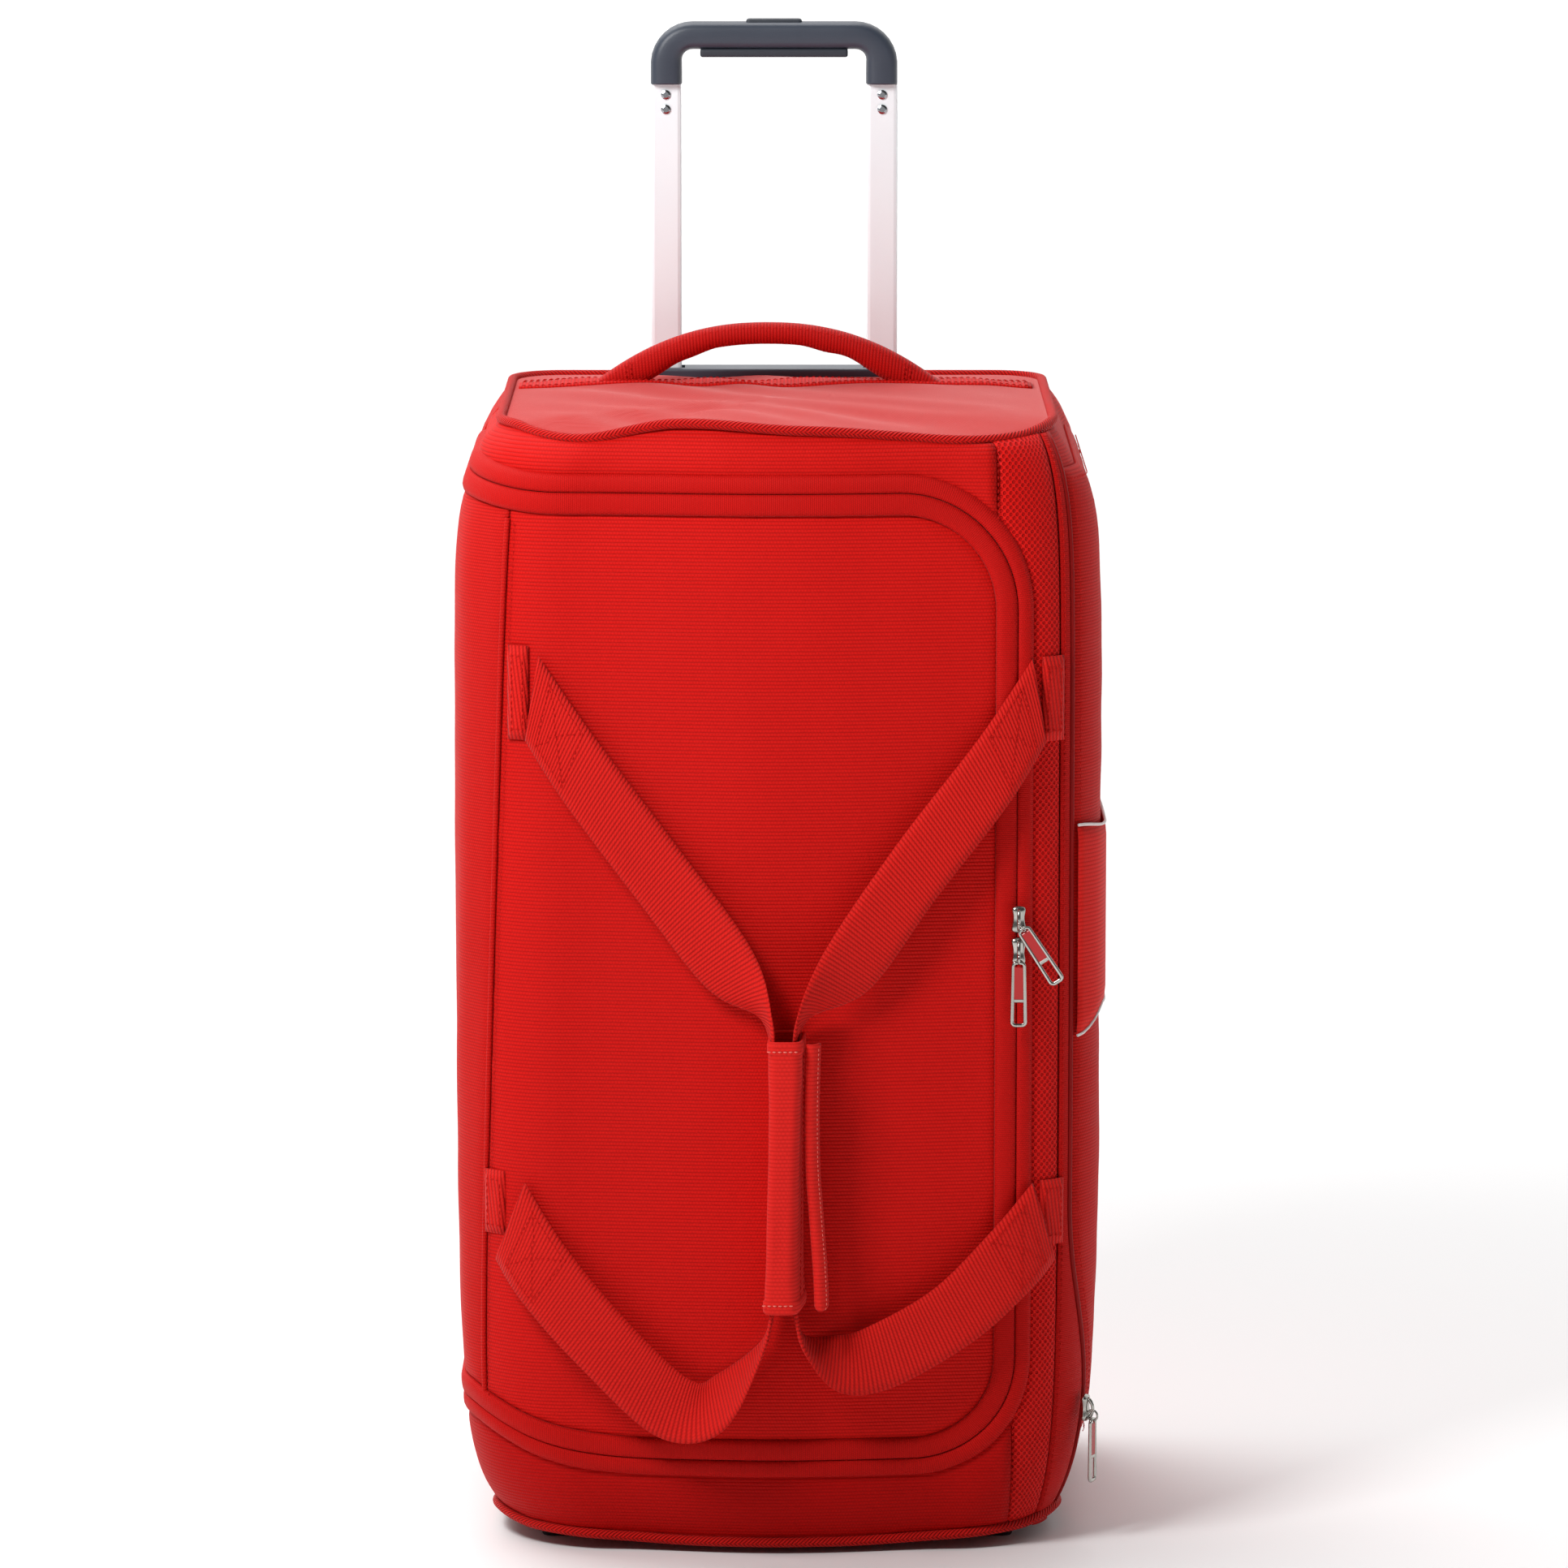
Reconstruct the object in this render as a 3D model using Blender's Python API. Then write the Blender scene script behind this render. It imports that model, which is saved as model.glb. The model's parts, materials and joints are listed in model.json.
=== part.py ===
"""Rolling duffel bag that stands on two wheels and two feet. Metres, +Z up.

+X is the bag's right as its front is faced, the front faces -Y, and the origin is on the
floor under the middle of the bag. The soft shell is a set of sewn panels, cut from one
rounded-rectangle wall. The front flap is bounded by a U-shaped zip and folds open about
a vertical line on the left side.
"""

import math

import bmesh
import bpy
from mathutils import Matrix, Vector

# Gaps
GAP = 0.0003
FLAP_GAP = 0.0008

# Soft shell
HALF_WIDTH = 0.1955
FRONT_Y = -0.145
FRONT_BOW = 0.010
BACK_Y = 0.180
FRONT_RADIUS = 0.065
REAR_RADIUS = 0.030
BOTTOM_Z = 0.012
TOP_Z = 0.682
WALL = 0.003
TOP_PINCH = 0.0285
TOP_PINCH_REACH = 0.028
BOTTOM_PINCH = 0.026
BOTTOM_PINCH_REACH = 0.042
FRONT_PINCH_SHARE = 0.6
PIPING_RADIUS = 0.003
PIPING_STAND = 0.0012
PIPING_END_Y = 0.140
LEVELS = (0.0, 0.012, 0.028, 0.048, 0.073, 0.108, 0.573, 0.608, 0.633, 0.648, 0.660, 0.670)

# Flap, zips and panel seams
HINGE_Y = 0.012
ZIP_TOP_Z = 0.6451
ZIP_BOTTOM_Z = 0.0600
ZIP_RIGHT_X = 0.1429
ZIP_TOP_RADIUS = 0.070
ZIP_BOTTOM_RADIUS = 0.062
ZIP_LEFT_RISE = (
    (-0.065, 0.0),
    (-0.120, 0.005),
    (-0.172, 0.0175),
    (-0.188, 0.027),
    (-0.300, 0.0275),
)
PART_LINE = -0.0050
FLAP_TAPE_EDGE = -0.0130
BODY_TAPE_EDGE = 0.0090
LEFT_SEAM_X = -0.1600
MESH_SEAM_X = 0.1300
MESH_ANGLE = math.radians(-52.6)
POCKET_ANGLE = math.radians(-14)
SIDE_BACK_Y = 0.150
BAND_SPLIT_Z = 0.36
POCKET_STAND = 0.0015
PATCH_THICKNESS = 0.0014
BADGE_THICKNESS = 0.0012
BADGE_Z = (0.304, 0.432)
BADGE_HALF_Y = 0.085

# Boards inside the shell
BASE_BOARD_INSET = 0.006
BASE_BOARD_Z = (0.0155, 0.0180)
BACK_BOARD_LOW = (-0.160, 0.1465, 0.0900)
BACK_BOARD_HIGH = (0.160, 0.1495, 0.6650)

# Carry handles
STRAP_THICKNESS = 0.0022
STRAP_STEPS = 40
LEFT_HANDLE_AXIS = (-0.1540, -0.1450, 0.0)
RIGHT_HANDLE_AXIS = (0.1620, -0.1390, 0.0)
WRAP_Z = (0.156, 0.322)

# Trolley
TROLLEY_X = -0.002
TROLLEY_HALF = 0.085
BEZEL_Y = (0.1500, 0.1765)
BEZEL_Z = (0.6720, 0.6885)
NOTCH_Z = (0.671, 0.700)
BRACKET_HALF = 0.098
BRACKET_Y = (0.1515, 0.1765)
BRACKET_Z = (0.0185, 0.0297)
TUBE_SPAN = 0.1350
TUBE_Y = 0.165
OUTER_TUBE = (0.0254, 0.0174, 0.0300, 0.6717)
MIDDLE_TUBE = (0.0220, 0.0140, 0.0600, 0.6600)
INNER_TUBE = (0.0190, 0.0110, 0.2500, 0.8655)
TUBE_WALL = 0.0011
TUBE_CORNER = 0.0022
TONGUE_GAP = 0.0007
TONGUE_Z = (0.842, 0.875)
GRIP_WIDTH = 0.154
GRIP_DEPTH = 0.024
GRIP_LEG_Z = 0.8658
GRIP_TOP_Z = 0.9045
GRIP_UNDER_Z = 0.8875
GRIP_LEG = 0.0195
GRIP_OUTER_RADIUS = 0.026
GRIP_INNER_RADIUS = 0.009
GRIP_EDGE = 0.0030
RIVET_Z = (0.8592, 0.8501)
RIVET_SHANK = 0.0020
RIVET_HEAD = 0.0030
BUTTON_HALF_WIDTH = 0.0175
BUTTON_HALF_DEPTH = 0.0060
BUTTON_Z = (0.8985, 0.9063)
BUTTON_POCKET_Z = 0.8945
INSERT_HALF = 0.046
INSERT_HALF_DEPTH = 0.0095
INSERT_DROP = 0.0035
INSERT_RADIUS = 0.4245

# Grab handle on the top
GRAB_Y = 0.105
GRAB_AXIS_Z = 0.6905
# Each: along X, rise over the axis, share of the full thickness
GRAB_ARCH = (
    (-0.1120, 0.0, 0.35),
    (-0.0950, 0.0055, 0.6),
    (-0.0700, 0.0160, 0.95),
    (-0.0400, 0.0228, 1.0),
    (-0.0060, 0.0250, 1.0),
    (0.0280, 0.0228, 1.0),
    (0.0580, 0.0160, 0.95),
    (0.0830, 0.0055, 0.6),
    (0.1000, 0.0, 0.35),
)
GRAB_HALF_DEPTH = 0.0100
GRAB_HALF_HEIGHT = 0.0083

# Wheels and feet
WHEEL_X = 0.135
WHEEL_Y = 0.160
WHEEL_RADIUS = 0.032
WHEEL_WIDTH = 0.022
HUB_RADIUS = 0.022
AXLE_RADIUS = 0.003
TYRE_EDGE = 0.0035
WHEEL_CLEARANCE = 0.0035
WELL_SIDE = 0.002
HOUSING_EDGE = 0.004
HOUSING_X = (0.113, 0.157)
HOUSING_Y = (0.118, 0.186)
HOUSING_Z = (0.010, 0.082)
FOOT_X = 0.125
FOOT_Y = -0.085
FOOT_BOTTOM = (0.018, 0.010)
FOOT_TOP = (0.022, 0.014)
FOOT_CORNER = 0.006

# Zip sliders
MAIN_SLIDER_X = 0.1440
MAIN_SLIDER_Y = -0.1480
UPPER_SLIDER_Z = 0.3906
LOWER_SLIDER_Z = 0.3715
UPPER_PULL_LEAN = math.radians(33)
POCKET_SLIDER = (0.1893, -0.1100, 0.083)
POCKET_SLIDER_TURN = math.radians(63)
SLIDER_SIZE = (0.0100, 0.0048, 0.0170)
PULL_LENGTH = 0.043
PULL_WIDTH = 0.0102
PULL_THICKNESS = 0.0018
PULL_BAR = 0.0005
PULL_BAR_OUT = 0.0018
PULL_EYE = (0.0036, 0.0088)
PULL_SLOT = (0.0026, 0.0025, 0.0125)
BRIDGE_Z = -0.0025
BRIDGE_WIDTH = 0.0016
BRIDGE_RADIUS = 0.0048
BRIDGE_EYE_RADIUS = 0.0017

RED = (0.56, 0.012, 0.010, 1.0)
DEEP_RED = (0.32, 0.006, 0.005, 1.0)
STRAP_RED = (0.48, 0.014, 0.011, 1.0)
SLATE = (0.055, 0.067, 0.085, 1.0)
BLACK = (0.02, 0.02, 0.022, 1.0)
SILVER = (0.80, 0.81, 0.82, 1.0)
BOARD_GREY = (0.30, 0.30, 0.31, 1.0)


def clear_scene():
    for obj in list(bpy.data.objects):
        bpy.data.objects.remove(obj, do_unlink=True)


def paint(obj, colour, roughness, metallic=0.0):
    """Gives the object a Principled material of its own."""
    material = bpy.data.materials.new(obj.name + "_finish")
    material.use_nodes = True
    shader = material.node_tree.nodes["Principled BSDF"]
    shader.inputs["Base Color"].default_value = colour
    shader.inputs["Roughness"].default_value = roughness
    shader.inputs["Metallic"].default_value = metallic
    material.diffuse_color = colour
    obj.data.materials.clear()
    obj.data.materials.append(material)


def add_object(name, bm, origin=(0.0, 0.0, 0.0)):
    """Makes an object from a bmesh whose points are in world space, with its origin at origin."""
    bmesh.ops.recalc_face_normals(bm, faces=bm.faces)
    bmesh.ops.translate(bm, verts=bm.verts, vec=-Vector(origin))
    mesh = bpy.data.meshes.new(name)
    bm.to_mesh(mesh)
    bm.free()
    obj = bpy.data.objects.new(name, mesh)
    obj.location = origin
    bpy.context.scene.collection.objects.link(obj)
    return obj


def make_cutter(obj):
    obj.hide_render = True
    obj.display_type = "WIRE"
    return obj


def apply_boolean(obj, cutter, operation):
    modifier = obj.modifiers.new(operation.lower() + "_" + cutter.name, "BOOLEAN")
    modifier.operation = operation
    modifier.solver = "EXACT"
    modifier.object = cutter


def smooth(obj, angle=35):
    obj.data.shade_smooth()
    obj.data.set_sharp_from_angle(angle=math.radians(angle))


def box_bmesh(low, high):
    bm = bmesh.new()
    bmesh.ops.create_cube(bm, size=1.0)
    size = [h - l for l, h in zip(low, high)]
    middle = [(h + l) / 2 for l, h in zip(low, high)]
    bmesh.ops.scale(bm, verts=bm.verts, vec=size)
    bmesh.ops.translate(bm, verts=bm.verts, vec=middle)
    return bm


def box(name, low, high, bevel=0.0, origin=(0.0, 0.0, 0.0)):
    bm = box_bmesh(low, high)
    if bevel:
        bmesh.ops.bevel(bm, geom=bm.edges[:], offset=bevel, segments=2, profile=0.5, affect="EDGES")
    return add_object(name, bm, origin)


def stack_rings(rings):
    """A closed body from rings of the same number of points, capped at both ends."""
    bm = bmesh.new()
    rows = [[bm.verts.new(point) for point in ring] for ring in rings]
    for lower, upper in zip(rows, rows[1:]):
        for i in range(len(lower)):
            j = (i + 1) % len(lower)
            bm.faces.new((lower[i], lower[j], upper[j], upper[i]))
    bm.faces.new(rows[0][::-1])
    bm.faces.new(rows[-1])
    return bm


def prism(outline, axis, start, end):
    """A closed body from a 2D outline swept along an axis: 'X' takes (y, z), 'Y' (x, z), 'Z' (x, y)."""
    place = {
        "X": lambda point, at: (at, point[0], point[1]),
        "Y": lambda point, at: (point[0], at, point[1]),
        "Z": lambda point, at: (point[0], point[1], at),
    }[axis]
    return stack_rings([[place(point, at) for point in outline] for at in (start, end)])


def arc(centre, radius, start, end, steps):
    """Points on an arc, both ends included, with the angles in degrees."""
    angles = [math.radians(start + (end - start) * i / steps) for i in range(steps + 1)]
    return [(centre[0] + radius * math.cos(a), centre[1] + radius * math.sin(a)) for a in angles]


def circle(centre, radius, sides):
    return arc(centre, radius, 0, 360 * (sides - 1) / sides, sides - 1)


def rounded_rectangle(low, high, radius, steps=3):
    corners = (
        ((low[0] + radius, low[1] + radius), 180),
        ((high[0] - radius, low[1] + radius), 270),
        ((high[0] - radius, high[1] - radius), 0),
        ((low[0] + radius, high[1] - radius), 90),
    )
    return [point for centre, angle in corners for point in arc(centre, radius, angle, angle + 90, steps)]


# The soft shell


def pinch(z):
    """How far the wall is drawn in at this height, because the two ends are smaller than the belly."""
    top = TOP_PINCH * math.exp(-max(TOP_Z - z, 0.0) / TOP_PINCH_REACH)
    bottom = BOTTOM_PINCH * math.exp(-max(z - BOTTOM_Z, 0.0) / BOTTOM_PINCH_REACH)
    return top + bottom


def shell_outline(z, inward):
    """The wall's outline at this height, seen from above, moved inward by this much."""
    half = HALF_WIDTH - pinch(z) - inward
    front = FRONT_Y + FRONT_PINCH_SHARE * pinch(z) + inward
    back = BACK_Y - inward
    wide = FRONT_RADIUS - inward
    tight = REAR_RADIUS - inward
    reach = half - wide
    points = arc((-reach, front + wide), wide, 180, 270, 6)
    for i in range(1, 8):
        x = -reach + 2 * reach * i / 8
        points.append((x, front - FRONT_BOW * (1 - (x / reach) ** 2)))
    points += arc((reach, front + wide), wide, 270, 360, 6)
    points += arc((half - tight, back - tight), tight, 0, 90, 3)
    points += arc((-half + tight, back - tight), tight, 90, 180, 3)
    return points


def shell_ring(outer, inner, low=BOTTOM_Z + 0.0035, high=TOP_Z - GAP):
    """The whole wall between two offsets, as one open tube with a wall thickness."""
    heights = [BOTTOM_Z + level for level in LEVELS if low < BOTTOM_Z + level < high]
    heights = [low] + heights + [high]
    bm = bmesh.new()
    loops = []
    for inward in (outer, inner):
        loops.append([[bm.verts.new((x, y, z)) for x, y in shell_outline(z, inward)] for z in heights])
    count = len(loops[0][0])
    for rows in loops:
        for lower, upper in zip(rows, rows[1:]):
            for i in range(count):
                j = (i + 1) % count
                bm.faces.new((lower[i], lower[j], upper[j], upper[i]))
    for row in (0, -1):
        for i in range(count):
            j = (i + 1) % count
            bm.faces.new((loops[0][row][i], loops[0][row][j], loops[1][row][j], loops[1][row][i]))
    return bm


def zip_outline(offset):
    """The U of the main zip as (x, z), moved out by offset, and open to the left."""
    right = ZIP_RIGHT_X + offset
    top = ZIP_TOP_Z + offset
    bottom = ZIP_BOTTOM_Z - offset
    upper = ZIP_TOP_RADIUS + offset
    lower = ZIP_BOTTOM_RADIUS + offset
    points = [(x, bottom + rise) for x, rise in reversed(ZIP_LEFT_RISE)]
    points += arc((right - lower, bottom + lower), lower, 270, 360, 7)
    points += arc((right - upper, top - upper), upper, 0, 90, 7)
    points.append((ZIP_LEFT_RISE[-1][0], top))
    return points


def right_corner_wedges(far):
    """Plan outlines of the mesh strip, pocket zip and pocket, parted by lines out of the corner."""
    corner = Vector((HALF_WIDTH - FRONT_RADIUS, FRONT_Y + FRONT_RADIUS))
    mesh_line = Vector((math.cos(MESH_ANGLE), math.sin(MESH_ANGLE)))
    pocket_line = Vector((math.cos(POCKET_ANGLE), math.sin(POCKET_ANGLE)))
    zip_corner = corner + Vector((-mesh_line.y, mesh_line.x)) * GAP
    pocket_corner = corner + Vector((-pocket_line.y, pocket_line.x)) * 2 * GAP
    back = SIDE_BACK_Y - GAP
    inner_x = 0.1
    return {
        "mesh_strip": [
            (MESH_SEAM_X, -far),
            corner + mesh_line * far,
            corner,
            (MESH_SEAM_X, corner.y),
        ],
        "pocket_zip": [
            zip_corner,
            zip_corner + mesh_line * far,
            zip_corner + pocket_line * far,
        ],
        "pocket": [
            pocket_corner,
            pocket_corner + pocket_line * far,
            (far, back),
            (inner_x, back),
            (inner_x, corner.y),
        ],
    }


def make_cutters():
    far = 0.4
    cutters = {}
    for name, offset in (
        ("flap_edge", PART_LINE - FLAP_GAP),
        ("flap_inner", FLAP_TAPE_EDGE - GAP),
        ("flap_tape_inner", FLAP_TAPE_EDGE),
        ("body_edge", PART_LINE + FLAP_GAP),
        ("body_outer", BODY_TAPE_EDGE),
        ("surround", BODY_TAPE_EDGE + GAP),
    ):
        bm = prism(zip_outline(offset), "Y", -far, HINGE_Y + 0.001)
        cutters[name] = make_cutter(add_object("cut_" + name, bm))
    boxes = {
        "front_half": ((-far, -far, 0), (far, HINGE_Y - GAP, 1)),
        "seam_right": ((LEFT_SEAM_X + GAP, -far, 0), (far, 0, 1)),
        "seam_left": ((-far, -far, 0), (LEFT_SEAM_X, HINGE_Y - GAP, 1)),
        "upper_band": ((-far, -far, BAND_SPLIT_Z), (MESH_SEAM_X - GAP, HINGE_Y - GAP, 1)),
        "lower_band": ((-far, -far, 0), (MESH_SEAM_X - GAP, HINGE_Y - GAP, BAND_SPLIT_Z)),
        "left_side": ((-far, HINGE_Y + GAP, 0), (0, SIDE_BACK_Y - GAP, 1)),
        "back": ((-far, SIDE_BACK_Y, 0), (far, far, 1)),
    }
    for name, (low, high) in boxes.items():
        cutters[name] = make_cutter(box("cut_" + name, low, high))
    for name, outline in right_corner_wedges(far).items():
        cutters[name] = make_cutter(add_object("cut_" + name, prism(outline, "Z", 0, 1)))
    for side, sign in (("left", -1), ("right", 1)):
        xs = sorted((sign * (HOUSING_X[0] - GAP), sign * (HOUSING_X[1] + GAP)))
        low = (xs[0], HOUSING_Y[0] - GAP, 0)
        high = (xs[1], 0.3, HOUSING_Z[1] + GAP)
        cutters["housing_" + side] = make_cutter(box("cut_housing_" + side, low, high))
    notch_half = TROLLEY_HALF + GAP
    low = (TROLLEY_X - notch_half, BEZEL_Y[0] - GAP, NOTCH_Z[0])
    high = (TROLLEY_X + notch_half, BEZEL_Y[1] + GAP, NOTCH_Z[1])
    cutters["trolley_notch"] = make_cutter(box("cut_trolley_notch", low, high))
    return cutters


def make_panels(cutters):
    """The sewn panels: for each, the wall between two offsets, what is kept of it and what is cut away."""
    hinge = (-HALF_WIDTH, HINGE_Y, 0.0)
    flap_tape_kept = ("flap_edge", "front_half")
    body_tape_kept = ("body_outer", "front_half")
    plan = (
        ("flap_front_panel", 0.0, WALL, ("flap_inner", "seam_right"), (), RED, hinge),
        ("flap_side_panel", 0.0, WALL, ("flap_inner", "seam_left"), (), RED, hinge),
        ("main_zip_flap_tape", 0.0, WALL, flap_tape_kept, ("flap_tape_inner",), STRAP_RED, hinge),
        ("main_zip_body_tape", 0.0, WALL, body_tape_kept, ("body_edge",), STRAP_RED, None),
        ("upper_front_band", 0.0, WALL, ("upper_band",), ("surround",), RED, None),
        ("lower_front_band", 0.0, WALL, ("lower_band",), ("surround",), RED, None),
        ("mesh_corner_panel", 0.0, WALL, ("mesh_strip",), ("surround",), DEEP_RED, None),
        ("pocket_zip_tape", 0.0, WALL, ("pocket_zip",), (), DEEP_RED, None),
        ("side_pocket_panel", -POCKET_STAND, 0.0025, ("pocket",), (), RED, None),
        ("side_pocket_lining", 0.0060, 0.0075, ("pocket",), (), BOARD_GREY, None),
        ("left_side_panel", 0.0, WALL, ("left_side",), (), RED, None),
        ("back_panel", 0.0, WALL, ("back",), ("housing_left", "housing_right"), DEEP_RED, None),
    )
    for name, outer, inner, kept, cut, colour, origin in plan:
        panel = add_object(name, shell_ring(outer, inner), origin or (0.0, 0.0, 0.0))
        for cutter in kept:
            apply_boolean(panel, cutters[cutter], "INTERSECT")
        for cutter in cut:
            apply_boolean(panel, cutters[cutter], "DIFFERENCE")
        paint(panel, colour, 0.75)


def make_ends(cutters):
    top = add_object("top_end_panel", prism(shell_outline(TOP_Z, 0.0), "Z", TOP_Z, TOP_Z + WALL))
    apply_boolean(top, cutters["trolley_notch"], "DIFFERENCE")
    paint(top, RED, 0.75)
    outline = shell_outline(BOTTOM_Z, 0.0)
    bottom = add_object("bottom_end_panel", prism(outline, "Z", BOTTOM_Z, BOTTOM_Z + WALL))
    inner_outline = shell_outline(BOTTOM_Z, BASE_BOARD_INSET)
    base = add_object("base_board", prism(inner_outline, "Z", *BASE_BOARD_Z))
    for obj in (bottom, base):
        apply_boolean(obj, cutters["housing_left"], "DIFFERENCE")
        apply_boolean(obj, cutters["housing_right"], "DIFFERENCE")
    paint(bottom, DEEP_RED, 0.75)
    paint(base, BOARD_GREY, 0.6)


def make_piping(name, z, outline_z, closed):
    """A cord-filled edge of round section, round one end of the shell or round its front and sides."""
    sides = 6
    path = [Vector(point) for point in shell_outline(outline_z, -PIPING_RADIUS - PIPING_STAND)]
    if not closed:
        rear_points = 8
        path = path[:-rear_points]
        path = [Vector((path[0].x, PIPING_END_Y))] + path + [Vector((path[-1].x, PIPING_END_Y))]
    last = len(path) - 1
    rings = []
    for i, point in enumerate(path):
        before = path[i - 1] if closed or i > 0 else point
        after = path[(i + 1) % len(path)] if closed or i < last else point
        along = (after - before).normalized()
        outward = Vector((along.y, -along.x))
        ring = []
        for k in range(sides):
            angle = 2 * math.pi * k / sides
            spot = point + outward * PIPING_RADIUS * math.cos(angle)
            ring.append((spot.x, spot.y, z + PIPING_RADIUS * math.sin(angle)))
        rings.append(ring)
    if closed:
        bm = bmesh.new()
        rows = [[bm.verts.new(point) for point in ring] for ring in rings]
        for i, row in enumerate(rows):
            following = rows[(i + 1) % len(rows)]
            for k in range(sides):
                n = (k + 1) % sides
                bm.faces.new((row[k], row[n], following[n], following[k]))
    else:
        bm = stack_rings(rings)
    piping = add_object(name, bm)
    paint(piping, DEEP_RED, 0.8)


def make_patch(name, low_x, high_x, low_z, high_z, origin):
    """A reinforcement sewn on the wall where a carry handle starts."""
    patch = add_object(name, shell_ring(-GAP - PATCH_THICKNESS, -GAP), origin)
    cutter = make_cutter(box("cut_" + name, (low_x, -0.3, low_z), (high_x, 0.0, high_z)))
    apply_boolean(patch, cutter, "INTERSECT")
    paint(patch, STRAP_RED, 0.8)


def make_pocket_badge():
    inner = -POCKET_STAND - GAP
    badge = add_object("side_pocket_patch", shell_ring(inner - BADGE_THICKNESS, inner))
    low = (0.1, -BADGE_HALF_Y, BADGE_Z[0])
    high = (0.3, BADGE_HALF_Y, BADGE_Z[1])
    cutter = make_cutter(box("cut_side_pocket_patch", low, high))
    apply_boolean(badge, cutter, "INTERSECT")
    paint(badge, RED, 0.7)


# Carry handles


def spline_point(points, at):
    """A point on the smooth curve through these vectors, at this share of its length in steps."""
    span = at * (len(points) - 1)
    i = min(int(span), len(points) - 2)
    t = span - i
    a = points[max(i - 1, 0)]
    b = points[i]
    c = points[i + 1]
    d = points[min(i + 2, len(points) - 1)]
    square = (2 * a - 5 * b + 4 * c - d) * t * t
    cube = (3 * b - a - 3 * c + d) * t ** 3
    return 0.5 * (2 * b + (c - a) * t + square + cube)


def make_strap(name, stations, origin, steps):
    """Flat webbing through stations of (middle, half of its width as a vector)."""
    middles = [Vector(middle) for middle, _ in stations]
    halves = [Vector(half) for _, half in stations]
    rings = []
    for i in range(steps + 1):
        at = i / steps
        middle = spline_point(middles, at)
        half = spline_point(halves, at)
        ahead = spline_point(middles, min(at + 0.01, 1.0)) - spline_point(middles, max(at - 0.01, 0.0))
        face = half.cross(ahead).normalized() * STRAP_THICKNESS / 2
        rings.append([middle - half - face, middle + half - face, middle + half + face, middle - half + face])
    strap = add_object(name, stack_rings(rings), origin)
    paint(strap, STRAP_RED, 0.8)
    return strap


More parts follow.
